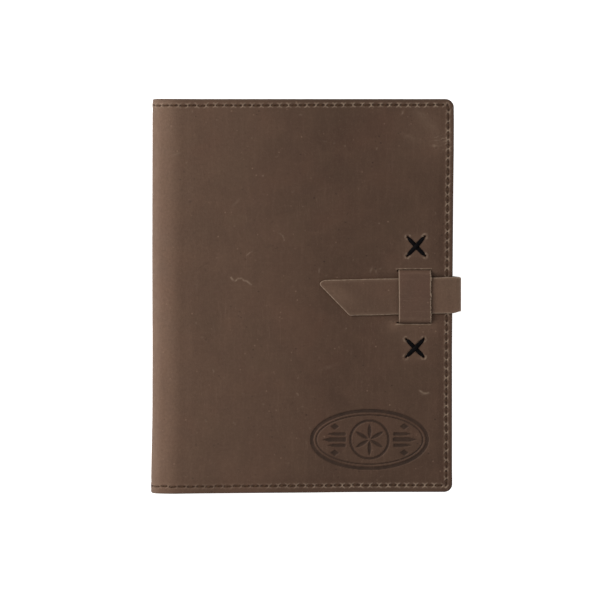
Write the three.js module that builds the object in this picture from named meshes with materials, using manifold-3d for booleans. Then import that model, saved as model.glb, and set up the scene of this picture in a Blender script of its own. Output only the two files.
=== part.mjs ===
// Leather notebook cover for an A5 hardback notebook, closed and strapped.
// Millimetres, +Z up. The cover lies on its back panel: +X is the fore-edge, -X the spine, +Y the head.
// The origin is at the middle of the footprint, on the underside of the back panel.
import * as THREE from "three";
import { mergeVertices } from "three/addons/utils/BufferGeometryUtils.js";
import Module from "manifold-3d";

const wasm = await Module();
wasm.setup();

// ---- driving dimensions ----
const LEATHER = 1.8; // outer hide and strap
const LINING = 0.7; // thin inner lining
const SLEEVE = 0.9; // pocket leather that holds the notebook's boards
const BOARD = 1.7; // notebook case boards
const BLOCK = 9.4; // page block thickness
const GAP = 0.1; // between layers that lie on each other
const ROOM = 1.1; // slack in each sleeve, where the hidden strap ends lie

const SPINE_X = -86.9; // outermost spine surface
const FORE_X = 82.0; // fore-edge of both panels
const HALF_H = 110.3; // half the cover's height
const CORNER_R = 5; // fore-edge corners
const SEAM = 3.2; // seam line in from the edge
const STRAP_W = 20.3;
const STRAP_TILT = THREE.MathUtils.degToRad(1.35); // the strap lies a little askew
const STRAP_X = 85.9; // neutral line of the strap's upright stretch
const STRAP_Y = 0.56;

const TAB_STITCH = [-25.5, -10.5, 7.2]; // the tab's stitched square, in the strap's own frame

// layer heights, from the table up
const Z = {};
Z.backLeather = [0, LEATHER];
Z.backLining = [LEATHER + GAP, LEATHER + GAP + LINING];
Z.backBoard = [Z.backLining[1] + GAP + ROOM, Z.backLining[1] + GAP + ROOM + BOARD];
Z.backSleeve = [Z.backBoard[1] + GAP, Z.backBoard[1] + GAP + SLEEVE];
Z.block = [Z.backSleeve[1] + GAP, Z.backSleeve[1] + GAP + BLOCK];
Z.frontSleeve = [Z.block[1] + GAP, Z.block[1] + GAP + SLEEVE];
Z.frontBoard = [Z.frontSleeve[1] + GAP, Z.frontSleeve[1] + GAP + BOARD];
Z.frontLining = [Z.frontBoard[1] + GAP + ROOM, Z.frontBoard[1] + GAP + ROOM + LINING];
Z.frontLeather = [Z.frontLining[1] + GAP, Z.frontLining[1] + GAP + LEATHER];
const TOP = Z.frontLeather[1]; // 22.6, outer face of the front panel
const mirror = (z) => TOP - z;

// spine polygon: four 45 degree bends, on the leather's neutral line
const SLANT = 10.5; // length of the two slanting stretches
const BEND = Math.PI / 4;
const P2x = SPINE_X + LEATHER / 2;
const P1 = [P2x + SLANT * Math.SQRT1_2, LEATHER / 2];
const P2 = [P2x, LEATHER / 2 + SLANT * Math.SQRT1_2];
const P3 = [P2x, mirror(P2[1])];
const OUTER_BEND = 0.1357 * (SLANT / 2); // how far each flex line lies inside its corner, so that the hide keeps its length
const INNER_BEND = 0.1357 * ((P3[1] - P2[1]) / 2);
const SIN = Math.sin(BEND / 2),
  COS = Math.cos(BEND / 2);
const FLEX1 = [P1[0] + OUTER_BEND * SIN, P1[1] + OUTER_BEND * COS]; // back panel to lower spine
const FLEX2 = [P2[0] + INNER_BEND * COS, P2[1] + INNER_BEND * SIN]; // lower to middle spine
// the other two are their mirror images about the middle height

// notebook
const BOARD_X = [-77.5, 67.5];
const BOARD_H = 105;
const BLOCK_X = [-79.0, 63.0];
const BLOCK_H = 102.5;
const CASE_SPINE_X = [-80.5, -79.3];

// keeper: a band over the strap, whose ends go down through two slits and lie behind the front hide
const KEEPER_X = [51.7, 69.9];
const KEEPER_BAND = 1.4;
const KEEPER_TAIL = 0.7;
const SLIT_HALF = 10.1; // half the slit's length
const CROSS = [
  ["upper_cross_lace", 61.3, 27.8],
  ["lower_cross_lace", 61.0, -29.1],
];
const CROSS_ARM = 5.0; // hole distance from the cross's centre along X and along Y
const LACE = 1.9;

// ---- materials ----
const hide = new THREE.MeshStandardMaterial({ color: 0x54423a, roughness: 0.72, metalness: 0 });
const strapHide = new THREE.MeshStandardMaterial({ color: 0x5a473c, roughness: 0.7, metalness: 0 });
const liningMat = new THREE.MeshStandardMaterial({ color: 0x6d5443, roughness: 0.9, metalness: 0 });
const thread = new THREE.MeshStandardMaterial({ color: 0x3f2d1f, roughness: 0.8, metalness: 0 });
const lace = new THREE.MeshStandardMaterial({ color: 0x0d0b0a, roughness: 0.55, metalness: 0 });
const paper = new THREE.MeshStandardMaterial({ color: 0xeee6d4, roughness: 0.95, metalness: 0 });
const card = new THREE.MeshStandardMaterial({ color: 0x1c1b1d, roughness: 0.8, metalness: 0 });

// ---- helpers ----
function bare(geometry) {
  const g = geometry.clone();
  g.deleteAttribute("normal");
  g.deleteAttribute("uv");
  return mergeVertices(g, 1e-4);
}
function solid(geometry) {
  const g = bare(geometry);
  return new wasm.Manifold(
    new wasm.Mesh({
      numProp: 3,
      vertProperties: g.attributes.position.array,
      triVerts: new Uint32Array(g.index.array),
    }),
  );
}
function geometryOf(manifold) {
  const m = manifold.getMesh();
  const v = new Float32Array(m.numVert * 3);
  for (let i = 0; i < m.numVert; i++)
    v.set(m.vertProperties.subarray(i * m.numProp, i * m.numProp + 3), i * 3);
  const g = new THREE.BufferGeometry()
    .setAttribute("position", new THREE.BufferAttribute(v, 3))
    .setIndex(new THREE.BufferAttribute(new Uint32Array(m.triVerts), 1));
  g.computeVertexNormals();
  return g;
}
function plate(shape, z0, z1) {
  return new THREE.ExtrudeGeometry(shape, {
    depth: z1 - z0,
    bevelEnabled: false,
    curveSegments: 7,
  }).translate(0, 0, z0);
}
// A panel outline: square at the spine side, round at the fore-edge.
function panelShape(x0, x1, h, r) {
  const s = new THREE.Shape();
  s.moveTo(x0, -h);
  s.lineTo(x1 - r, -h);
  s.absarc(x1 - r, -h + r, r, -Math.PI / 2, 0, false);
  s.lineTo(x1, h - r);
  s.absarc(x1 - r, h - r, r, 0, Math.PI / 2, false);
  s.lineTo(x0, h);
  s.closePath();
  return s;
}
// The seam line's path at a given inset, from the spine at the head, round the fore-edge, to the spine at the tail.
function seamPath(x0, inset) {
  const h = HALF_H - inset,
    x1 = FORE_X - inset,
    r = Math.max(CORNER_R - inset, 0.8),
    pts = [new THREE.Vector2(x0, h)];
  for (let i = 0; i <= 5; i++) {
    const a = Math.PI / 2 - (i / 5) * (Math.PI / 2);
    pts.push(new THREE.Vector2(x1 - r + r * Math.cos(a), h - r + r * Math.sin(a)));
  }
  for (let i = 0; i <= 5; i++) {
    const a = -(i / 5) * (Math.PI / 2);
    pts.push(new THREE.Vector2(x1 - r + r * Math.cos(a), -h + r + r * Math.sin(a)));
  }
  pts.push(new THREE.Vector2(x0, -h));
  return pts;
}
function seamBand(x0, half) {
  return new THREE.Shape([...seamPath(x0, SEAM - half), ...seamPath(x0, SEAM + half).reverse()]);
}
function rectHole(cx, cy, w, h) {
  const p = new THREE.Path();
  p.moveTo(cx - w / 2, cy - h / 2);
  p.lineTo(cx - w / 2, cy + h / 2);
  p.lineTo(cx + w / 2, cy + h / 2);
  p.lineTo(cx + w / 2, cy - h / 2);
  p.closePath();
  return p;
}
function roundHole(cx, cy, r) {
  return new THREE.Path().absarc(cx, cy, r, 0, 2 * Math.PI, true);
}
const step = (t) => {
  const u = Math.min(1, Math.max(0, t));
  return u * u * (3 - 2 * u);
};
// 1 inside a rectangle, falling to 0 over a margin outside it.
function hump(x, y, x0, x1, y0, y1, margin) {
  const d = Math.max(x0 - x, x - x1, y0 - y, y - y1);
  return 1 - step(d / margin);
}
// A sheet whose under and upper faces follow heights, cut to an outline.
function sheet(shape, xs, ys, low, high) {
  const nx = xs.length - 1,
    ny = ys.length - 1;
  const g = new THREE.BoxGeometry(nx, ny, 1, nx, ny, 1);
  const p = g.attributes.position;
  for (let i = 0; i < p.count; i++) {
    const x = xs[Math.round(p.getX(i) + nx / 2)],
      y = ys[Math.round(p.getY(i) + ny / 2)];
    p.setXYZ(i, x, y, p.getZ(i) > 0 ? high(x, y) : low(x, y));
  }
  const zs = [];
  for (const x of xs) for (const y of ys) zs.push(low(x, y), high(x, y));
  const cutter = solid(plate(shape, Math.min(...zs) - 1, Math.max(...zs) + 1));
  return geometryOf(solid(g).intersect(cutter));
}

const root = new THREE.Group();
root.name = "notebook_cover";
function add(name, geometry, material, parent = root) {
  const mesh = new THREE.Mesh(geometry, material);
  mesh.name = name;
  parent.add(mesh);
  return mesh;
}

// ---- outer hide panels, with a stitching groove ----
// The square of stitches that holds the strap's hidden tab to the back panel.
function tabStitch(halfWidth, z0, z1) {
  const [x0, x1, y] = TAB_STITCH;
  const w = halfWidth;
  const s = new THREE.Shape();
  s.moveTo(x0 - w, -y - w);
  s.lineTo(x1 + w, -y - w);
  s.lineTo(x1 + w, y + w);
  s.lineTo(x0 - w, y + w);
  s.closePath();
  s.holes.push(rectHole((x0 + x1) / 2, 0, x1 - x0 - 2 * w, 2 * y - 2 * w));
  return plate(s, z0, z1).rotateZ(STRAP_TILT).translate(STRAP_X, STRAP_Y, 0);
}
const panelX0 = FLEX1[0] + 0.2;
const GROOVE = 0.5;
{
  const groove = solid(plate(seamBand(panelX0 - 1, 0.5), -1, GROOVE));
  const back = solid(plate(panelShape(panelX0, FORE_X, HALF_H, CORNER_R), ...Z.backLeather));
  const tabGroove = solid(tabStitch(0.5, -1, GROOVE));
  add("back_cover", geometryOf(back.subtract(groove).subtract(tabGroove)), hide);
  add("strap_tab_thread", tabStitch(0.35, 0.06, 0.42), thread);
  add("back_seam_thread", plate(seamBand(panelX0 + 0.3, 0.35), 0.06, 0.42), thread);

  const shape = panelShape(panelX0, FORE_X, HALF_H, CORNER_R);
  const mid = (KEEPER_X[0] + KEEPER_X[1]) / 2;
  shape.holes.push(rectHole(mid, 14.6, 2 * SLIT_HALF, 1.9));
  shape.holes.push(rectHole(mid, -15.5, 2 * SLIT_HALF, 1.9));
  for (const [, cx, cy] of CROSS)
    for (const sx of [-1, 1])
      for (const sy of [-1, 1])
        shape.holes.push(roundHole(cx + sx * CROSS_ARM, cy + sy * CROSS_ARM, LACE / 2 + 0.1));
  const front = solid(plate(shape, ...Z.frontLeather));
  const upper = solid(plate(seamBand(panelX0 - 1, 0.5), TOP - GROOVE, TOP + 1));
  add("front_cover", geometryOf(front.subtract(upper)), hide);
  add("front_seam_thread", plate(seamBand(panelX0 + 0.3, 0.35), TOP - 0.42, TOP - 0.06), thread);
}

// ---- linings ----
const liningX0 = FLEX1[0] + 0.55;
const xsLining = [liningX0, -40, 0, 30, 44, 46, 48, 50, 52, 54, 56, 58, 61, 64, 68, 71, 73, 75, 77, 79, FORE_X];
const ysBack = [-HALF_H, -60, -20, -15, -13.5, -12, -10.5, -5, 0, 5, 11.5, 13, 14.5, 16, 20, 60, HALF_H];
const ysFront = [-HALF_H, -70, -44, -41.5, -40, -38, -30, -15, 0, 15, 30, 37, 39, 40.5, 43, 70, HALF_H];
const outline = () => panelShape(liningX0, FORE_X - 0.2, HALF_H - 0.2, CORNER_R);
// the strap's tab lifts the back lining; the keeper's ends and lace press the front one in
const backBump = (x, y) => (ROOM - 0.1) * hump(x, y, 56.5, 95, -11.8, 12.4, 3.2);
const frontBump = (x, y) => ROOM * hump(x, y, 50, 72, -39, 38, 3.4);
add(
  "back_lining",
  sheet(outline(), xsLining, ysBack, (x, y) => Z.backLining[0] + backBump(x, y), (x, y) => Z.backLining[1] + backBump(x, y)),
  liningMat,
);
add(
  "front_lining",
  sheet(outline(), xsLining, ysFront, (x, y) => Z.frontLining[0] - frontBump(x, y), (x, y) => Z.frontLining[1] - frontBump(x, y)),
  liningMat,
);

// ---- sleeves: sewn down round three sides, rising over the notebook's board ----
const sleeveX0 = 8;
{
  const xs = [sleeveX0, 30, 56, 58, 60, 66, 68.4, 69.4, 70.6, 71.8, 73, 74.2, 75.4, 77, FORE_X];
  const ys = (bumps) => {
    const edge = [105.7, 106.3, 106.9, 107.5, 108.1, HALF_H];
    return [...edge.map((v) => -v).reverse(), ...bumps, ...edge];
  };
  // 1 over the board, 0 at the sewn border
  const over = (x, y) => 1 - step(Math.max((x - 68.6) / 6.5, (Math.abs(y) - 105.6) / 2.5));
  const shape = panelShape(sleeveX0, FORE_X - 0.3, HALF_H - 0.3, CORNER_R);
  const low = (x, y) => {
    const border = Z.backLining[1] + GAP + backBump(x, y);
    return border + (Z.backSleeve[0] - border) * over(x, y);
  };
  add(
    "back_sleeve",
    sheet(shape, xs, ys([-60, -20, -15, -13.5, -12, 0, 12.4, 14, 15.5, 20, 60]), low, (x, y) => low(x, y) + SLEEVE),
    liningMat,
  );
  const high = (x, y) => {
    const border = Z.frontLining[0] - GAP - frontBump(x, y);
    return border + (Z.frontSleeve[1] - border) * over(x, y);
  };
  add(
    "front_sleeve",
    sheet(shape, xs, ys([-60, -44, -41.5, -39, 0, 38, 40.5, 43, 60]), (x, y) => high(x, y) - SLEEVE, high),
    liningMat,
  );
}

// ---- spine: three stretches that flex where they meet ----
function slat(name, from, to, cutFrom, cutTo, offset, thick, half, material) {
  const dx = to[0] - from[0],
    dz = to[1] - from[1],
    len = Math.hypot(dx, dz),
    ux = dx / len,
    uz = dz / len;
  const inward = [uz, -ux]; // towards the pages, for a stretch running up the spine
  const a = cutFrom,
    b = len - cutTo,
    mid = (a + b) / 2;
  const g = new THREE.BoxGeometry(b - a, 2 * half, thick);
  const mesh = add(name, g, material);
  mesh.position.set(from[0] + ux * mid + inward[0] * offset, 0, from[1] + uz * mid + inward[1] * offset);
  mesh.rotation.y = -Math.atan2(uz, ux);
  return mesh;
}
// The head and tail seams run on across each stretch, in the same groove.
function grooved(mesh) {
  const { width, depth } = mesh.geometry.parameters;
  let s = solid(mesh.geometry);
  for (const side of [-1, 1])
    s = s.subtract(
      solid(
        new THREE.BoxGeometry(width + 2, 1, GROOVE + 1).translate(
          0,
          side * (HALF_H - SEAM),
          depth / 2 - GROOVE + (GROOVE + 1) / 2,
        ),
      ),
    );
  for (const side of [-1, 1]) {
    const bit = new THREE.Mesh(
      new THREE.BoxGeometry(width - 0.4, 0.7, 0.36).translate(0, side * (HALF_H - SEAM), depth / 2 - 0.24),
      thread,
    );
    bit.name = mesh.name.replace("hide", side > 0 ? "head_thread" : "tail_thread");
    bit.position.copy(mesh.position);
    bit.rotation.copy(mesh.rotation);
    root.add(bit);
  }
  mesh.geometry = geometryOf(s);
}
const P4 = [P1[0], mirror(P1[1])];
const foot1 = OUTER_BEND * SIN,
  foot2 = INNER_BEND * SIN,
  clear1 = 0.2,
  clear2 = 0.3;
grooved(slat("spine_hide_lower", P1, P2, foot1 + clear1, foot2 + clear2, 0, LEATHER, HALF_H, hide));
grooved(slat("spine_hide_middle", P2, P3, foot2 + clear2, foot2 + clear2, 0, LEATHER, HALF_H, hide));
grooved(slat("spine_hide_upper", P3, P4, foot2 + clear2, foot1 + clear1, 0, LEATHER, HALF_H, hide));
const liningOff = LEATHER / 2 + GAP + LINING / 2;
slat("spine_lining_lower", P1, P2, foot1 + 0.55, foot2 + 0.65, liningOff, LINING, HALF_H - 0.2, liningMat);
slat("spine_lining_middle", P2, P3, foot2 + 0.65, foot2 + 0.65, liningOff, LINING, HALF_H - 0.2, liningMat);
slat("spine_lining_upper", P3, P4, foot2 + 0.65, foot1 + 0.55, liningOff, LINING, HALF_H - 0.2, liningMat);

// ---- notebook ----
function block(name, x, h, z, material) {
  const m = add(name, new THREE.BoxGeometry(x[1] - x[0], 2 * h, z[1] - z[0]), material);
  m.position.set((x[0] + x[1]) / 2, 0, (z[0] + z[1]) / 2);
}
block("notebook_back_board", BOARD_X, BOARD_H, Z.backBoard, card);
block("notebook_front_board", BOARD_X, BOARD_H, Z.frontBoard, card);
block("page_block", BLOCK_X, BLOCK_H, Z.block, paper);
block("notebook_case_spine", CASE_SPINE_X, BOARD_H, [6.1, mirror(6.1)], card);

// ---- keeper ----
{
  const tail = [Z.frontLeather[0] - GAP - KEEPER_TAIL, Z.frontLeather[0] - GAP];
  const over = TOP + GAP + LEATHER + 0.25; // the band clears the strap
  const s = new THREE.Shape(
    [
      [36.5, tail[1]],
      [15.3, tail[1]],
      [15.3, TOP + 0.3],
      [12.2, over + KEEPER_BAND],
      [-13.1, over + KEEPER_BAND],
      [-16.2, TOP + 0.3],
      [-16.2, tail[1]],
      [-37.5, tail[1]],
      [-37.5, tail[0]],
      [-14.8, tail[0]],
      [-14.8, TOP - 0.1],
      [-12.4, over],
      [11.5, over],
      [13.9, TOP - 0.1],
      [13.9, tail[0]],
      [36.5, tail[0]],
    ].map(([y, z]) => new THREE.Vector2(y, z)),
  );
  // profile in Y and Z, drawn out along X
  let k = solid(
    new THREE.ExtrudeGeometry(s, { depth: KEEPER_X[1] - KEEPER_X[0], bevelEnabled: false })
      .applyMatrix4(
        new THREE.Matrix4().makeBasis(
          new THREE.Vector3(0, 1, 0),
          new THREE.Vector3(0, 0, 1),
          new THREE.Vector3(1, 0, 0),
        ),
      )
      .translate(KEEPER_X[0], 0, 0),
  );
  for (const [, cx, cy] of CROSS)
    for (const sx of [-1, 1])
      for (const sy of [-1, 1])
        k = k.subtract(
          solid(
            new THREE.CylinderGeometry(LACE / 2 + 0.1, LACE / 2 + 0.1, 3, 10)
              .rotateX(Math.PI / 2)
              .translate(cx + sx * CROSS_ARM, cy + sy * CROSS_ARM, 20.4),
          ),
        );
  add("keeper", geometryOf(k), strapHide);
}

// ---- cross laces: two arms over the hide, four legs through it, two runs behind ----
for (const [name, cx, cy] of CROSS) {
  const run = 0.3,
    z0 = Z.frontLeather[0] - GAP - KEEPER_TAIL - 0.05 - run;
  const arm = (turn, lift) => {
    const s = new THREE.Shape();
    const half = CROSS_ARM * Math.SQRT2 + LACE / 2;
    s.moveTo(-half, -0.35);
    s.lineTo(-half + 1.6, -LACE / 2);
    s.lineTo(half - 1.6, -LACE / 2);
    s.lineTo(half, -0.35);
    s.lineTo(half, 0.35);
    s.lineTo(half - 1.6, LACE / 2);
    s.lineTo(-half + 1.6, LACE / 2);
    s.lineTo(-half, 0.35);
    s.closePath();
    return solid(plate(s, TOP + 0.03, TOP + 1.0 + lift).rotateZ(turn));
  };
  let x = arm(Math.PI / 4, 0).add(arm(-Math.PI / 4, 0.3));
  for (const sx of [-1, 1]) {
    for (const sy of [-1, 1])
      x = x.add(
        solid(
          new THREE.CylinderGeometry(LACE / 2 - 0.15, LACE / 2 - 0.15, TOP + 0.5 - z0, 10)
            .rotateX(Math.PI / 2)
            .translate(sx * CROSS_ARM, sy * CROSS_ARM, (TOP + 0.5 + z0) / 2),
        ),
      );
    x = x.add(solid(new THREE.BoxGeometry(1.4, 2 * CROSS_ARM, run).translate(sx * CROSS_ARM, 0, z0 + run / 2)));
  }
  add(name, geometryOf(x).translate(cx, cy, 0), lace);
}

// ---- strap: tab in the back panel's fore-edge seam, upright fold, tongue through the keeper ----
const strap = new THREE.Group();
strap.position.set(STRAP_X, STRAP_Y, 0);
strap.rotation.z = STRAP_TILT;
root.add(strap);
const half = STRAP_W / 2;
const zTab = 2.4; // neutral height where the strap leaves the back panel
const PIVOT = 0.75; // flex lines lie this far inside the strap's corners
function strapProfile(points) {
  return new THREE.ExtrudeGeometry(new THREE.Shape(points.map(([x, z]) => new THREE.Vector2(x, z))), {
    depth: STRAP_W,
    bevelEnabled: false,
  })
    .rotateX(Math.PI / 2)
    .translate(0, half, 0);
}
add(
  "strap_tab",
  strapProfile([
    [-28, Z.backLeather[1] + GAP],
    [-3.4, Z.backLeather[1] + GAP],
    [-3.4, zTab - LEATHER / 2],
    [-PIVOT - 0.3, zTab - LEATHER / 2],
    [-PIVOT - 0.3, zTab + LEATHER / 2],
    [-3.4, zTab + LEATHER / 2],
    [-3.4, Z.backLeather[1] + GAP + 0.9],
    [-28, Z.backLeather[1] + GAP + 0.9],
  ]),
  strapHide,
  strap,
);
const zTongue = TOP + GAP + LEATHER / 2;
add(
  "strap_fold",
  new THREE.BoxGeometry(LEATHER, STRAP_W, zTongue - zTab - 2 * PIVOT - 0.6).translate(0, 0, (zTab + zTongue) / 2),
  strapHide,
  strap,
);
{
  const s = new THREE.Shape();
  s.moveTo(-PIVOT - 0.3, -half);
  s.lineTo(-60.6, -half);
  s.quadraticCurveTo(-61.4, -half, -62.0, -half + 0.6);
  s.lineTo(-76.9, 5.0);
  s.quadraticCurveTo(-79.2, 7.4, -77.2, 9.0);
  s.quadraticCurveTo(-75.8, half, -73.6, half);
  s.lineTo(-PIVOT - 0.3, half);
  s.closePath();
  add("strap_tongue", plate(s, TOP + GAP, TOP + GAP + LEATHER), strapHide, strap);
}

export default root;
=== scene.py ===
import math

import bmesh
import bpy
import numpy as np
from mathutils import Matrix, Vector


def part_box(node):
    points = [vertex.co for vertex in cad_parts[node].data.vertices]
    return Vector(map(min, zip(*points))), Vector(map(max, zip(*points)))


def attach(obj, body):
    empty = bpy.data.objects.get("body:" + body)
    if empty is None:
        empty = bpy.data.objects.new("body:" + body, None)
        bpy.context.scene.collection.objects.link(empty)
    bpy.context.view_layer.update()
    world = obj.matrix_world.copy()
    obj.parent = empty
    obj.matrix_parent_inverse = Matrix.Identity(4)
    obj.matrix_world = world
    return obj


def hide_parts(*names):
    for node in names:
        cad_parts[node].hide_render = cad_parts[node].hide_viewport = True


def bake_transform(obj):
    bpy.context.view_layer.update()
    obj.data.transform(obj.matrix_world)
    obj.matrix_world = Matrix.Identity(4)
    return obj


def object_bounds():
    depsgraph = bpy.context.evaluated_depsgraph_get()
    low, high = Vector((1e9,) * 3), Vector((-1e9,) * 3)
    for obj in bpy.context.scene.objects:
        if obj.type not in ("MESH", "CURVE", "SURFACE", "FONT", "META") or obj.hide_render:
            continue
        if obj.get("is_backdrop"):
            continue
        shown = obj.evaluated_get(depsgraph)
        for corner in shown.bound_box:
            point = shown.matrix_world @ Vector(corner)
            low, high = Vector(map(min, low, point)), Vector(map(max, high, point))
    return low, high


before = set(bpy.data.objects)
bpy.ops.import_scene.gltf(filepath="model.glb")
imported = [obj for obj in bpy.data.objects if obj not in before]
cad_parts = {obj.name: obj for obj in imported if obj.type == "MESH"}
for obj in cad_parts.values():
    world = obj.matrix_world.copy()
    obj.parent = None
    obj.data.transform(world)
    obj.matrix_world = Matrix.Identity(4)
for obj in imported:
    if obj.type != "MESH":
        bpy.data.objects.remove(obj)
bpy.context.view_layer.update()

MM = 0.001
rng = np.random.default_rng(11)

# ---- sizes from the frame, in millimetres ----
def box_mm(node):
    lo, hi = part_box(node)
    return np.array(lo) / MM, np.array(hi) / MM


F_LO, F_HI = box_mm("front_cover")
TOP = F_HI[2]
FORE_X = F_HI[0]
HALF_H = F_HI[1]
SPINE_X = box_mm("spine_hide_middle")[0][0]
HIDE = F_HI[2] - F_LO[2]
CORNER_R = 4.6
SEAM = 3.2
SEAM_HEAD = 3.5
SEAM_TAIL = 3.9
PITCH = 5.15
K_LO, K_HI = box_mm("keeper")
BLOCK_LO, BLOCK_HI = box_mm("page_block")
STRAP_TILT = math.radians(1.35)
_lo, _hi = box_mm("strap_fold")
STRAP_AT = np.array([_hi[0] - 1.14, (_lo[1] + _hi[1]) / 2])


# ---- small maths ----
def smooth(t):
    t = np.clip(t, 0, 1)
    return t * t * (3 - 2 * t)


def gauss(d, w):
    return np.exp(-((d / w) ** 2))


def value_noise(x, y, scale, seed):
    """Smooth noise from -1 to 1 with features about scale across."""
    g = np.random.default_rng(seed).uniform(-1, 1, (97, 97))
    u, v = np.asarray(x) / scale + 31.7, np.asarray(y) / scale + 17.3
    i, j = np.floor(u).astype(int), np.floor(v).astype(int)
    fu, fv = u - i, v - j
    fu, fv = fu * fu * (3 - 2 * fu), fv * fv * (3 - 2 * fv)
    i0, j0, i1, j1 = i % 97, j % 97, (i + 1) % 97, (j + 1) % 97
    a = g[i0, j0] * (1 - fu) + g[i1, j0] * fu
    b = g[i0, j1] * (1 - fu) + g[i1, j1] * fu
    return a * (1 - fv) + b * fv


def fractal(x, y, scale, seed, octaves=3):
    out, amp = 0, 1.0
    for k in range(octaves):
        out = out + amp * value_noise(x, y, scale / 2**k, seed + 7 * k)
        amp *= 0.5
    return out / 1.75


# the cover was cut and sewn by hand, so its outline is a little out of square
def skew(p):
    x, y = p[:, 0].copy(), p[:, 1].copy()
    fore = np.interp(y, [-110, -97, -30, 26, 54, 82, 98, 110], [-0.12, -0.28, -0.27, 0.18, 0.40, 0.72, 0.78, 0.66])
    spine = np.interp(y, [-110, -104, -86, -62, -30, 0, 54, 82, 110], [-0.42, -0.22, 0.12, 0.52, 0.56, 0.40, 0.46, 0.55, 0.55])
    t = np.clip((x + 87) / 169, 0, 1)
    p[:, 0] = x + spine * (1 - t) + fore * t
    tail = np.interp(x, [-87, -86.6, -86, -85, -83, -76, -59, -31, 0, 24, 52, 82], [0.20, -0.18, -0.46, -0.61, -0.62, -0.58, -0.34, -0.10, 0.12, 0.40, 0.50, 0.52])
    head = np.interp(x, [-87, -83, -76, -60], [0.45, 0.42, 0.16, 0.09])
    k = np.clip((np.abs(y) - 60) / (HALF_H - 60), 0, 1)
    p[:, 1] = y + k * np.where(y < 0, tail, head)
    return p


# ---- the wrap's profile: fore-edge, flat panel, spine ----
class Path:
    """A profile in X and Z, by length. normal points out of the leather's outer face."""

    def __init__(self, points, flip=False):
        self.p = np.array(points, float)
        d = np.linalg.norm(np.diff(self.p, axis=0), axis=1)
        self.s = np.concatenate([[0], np.cumsum(d)])
        t = np.gradient(self.p, self.s, axis=0)
        t /= np.linalg.norm(t, axis=1)[:, None]
        self.n = np.stack([t[:, 1], -t[:, 0]], 1) * (-1 if flip else 1)
        self.length = self.s[-1]

    def at(self, s, h):
        x = np.interp(s, self.s, self.p[:, 0])
        z = np.interp(s, self.s, self.p[:, 1])
        nx = np.interp(s, self.s, self.n[:, 0])
        nz = np.interp(s, self.s, self.n[:, 1])
        return x + nx * h, z + nz * h


def bezier(a, b, c, n=40):
    t = np.linspace(0, 1, n + 1)[:, None]
    a, b, c = map(np.array, (a, b, c))
    return (1 - t) ** 2 * a + 2 * t * (1 - t) * b + t * t * c


BEND_X = -71.5  # where the front begins to fall to the spine
S_MID = np.array([-82.92, TOP - 3.98])  # outer face, half way down the slanting stretch
C_TOP = np.array([-78.95, TOP])
C_SIDE = np.array([SPINE_X, TOP - 7.952])
V_MID = np.array([SPINE_X, TOP / 2])
flat_part = np.stack([np.linspace(FORE_X, BEND_X, 60), np.full(60, TOP)], 1)
upper = np.concatenate(
    [flat_part, bezier(flat_part[-1], C_TOP, S_MID)[1:], bezier(S_MID, C_SIDE, V_MID)[1:]]
)
WRAP = Path(upper)
S_FLAT = FORE_X - BEND_X
S_PALE_SPINE = S_FLAT - 5
i_mid = 59 + 40
L_A = WRAP.s[i_mid]
L_ALL = WRAP.length


def on_wrap(s, y, h, back=False):
    x, z = WRAP.at(s, h)
    if back:
        z = TOP - z
    return skew(np.stack([x, y, z], 1))


def edge_distance(s, y, r=CORNER_R, grow=0.0):
    """How far inside the sewn outline a point of the panel lies."""
    a = np.abs(y) - (HALF_H + grow - r)
    b = r - grow - s
    return r - (np.hypot(np.maximum(a, 0), np.maximum(b, 0)) + np.minimum(np.maximum(a, b), 0))


# ---- stitches: places along the seam, as (s, y, direction) ----
def seam_line():
    r = 1.6
    top = HALF_H - SEAM_HEAD
    low = HALF_H - SEAM_TAIL
    pts = [(L_ALL, top - 0.3), (SEAM + r, top + 0.2)]
    for k in range(1, 9):
        a = math.pi / 2 * k / 8
        pts.append((SEAM + r - r * math.sin(a), top - r + r * math.cos(a)))
    for k in range(0, 9):
        a = math.pi / 2 * k / 8
        pts.append((SEAM + r - r * math.cos(a), -low + r - r * math.sin(a)))
    pts.append((L_ALL, -low))
    return np.array(pts)


SEAM_PTS = seam_line()
_d = np.linalg.norm(np.diff(SEAM_PTS, axis=0), axis=1)
SEAM_S = np.concatenate([[0], np.cumsum(_d)])
N_STITCH = int(round(SEAM_S[-1] / PITCH))
_c = (np.arange(N_STITCH) + 0.5) * SEAM_S[-1] / N_STITCH
_jit = np.random.default_rng(5)
STITCH = []
for c in _c:
    c += _jit.normal(0, 0.05)
    p = np.array([np.interp(c, SEAM_S, SEAM_PTS[:, k]) for k in (0, 1)])
    q = np.array([np.interp(c + 0.6, SEAM_S, SEAM_PTS[:, k]) for k in (0, 1)])
    o = np.array([np.interp(c - 0.6, SEAM_S, SEAM_PTS[:, k]) for k in (0, 1)])
    t = (q - o) / np.linalg.norm(q - o)
    n = np.array([-t[1], t[0]])
    near_spine = 1.0 if p[0] > L_A - 8 else 0.0
    STITCH.append((p + n * _jit.normal(0, 0.08 + 0.12 * near_spine), t))
HALF_PITCH = SEAM_S[-1] / N_STITCH / 2
ST_P = np.array([p for p, _ in STITCH])
ST_T = np.array([t for _, t in STITCH])


def stitch_local(s, y):
    """Each point's place along and across its nearest stitch."""
    a = np.full(len(s), 99.0)
    b = np.full(len(s), 99.0)
    near = np.where(np.abs(edge_distance(s, y) - SEAM) < 3.4)[0]
    which = np.zeros(len(s), int)
    for block in np.array_split(near, max(1, len(near) // 4000)):
        if not len(block):
            continue
        q = np.stack([s[block], y[block]], 1)
        d = q[:, None, :] - ST_P[None]
        k = np.argmin((d**2).sum(2), axis=1)
        dd = d[np.arange(len(block)), k]
        t = ST_T[k]
        a[block] = (dd * t).sum(1)
        b[block] = dd[:, 0] * -t[:, 1] + dd[:, 1] * t[:, 0]
        which[block] = k
    return a, b, which


# ---- the debossed ornament: a plain rosette between bars, in an oval ----
EMB = (FORE_X - 46.4, -HALF_H + 29.7)


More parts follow.
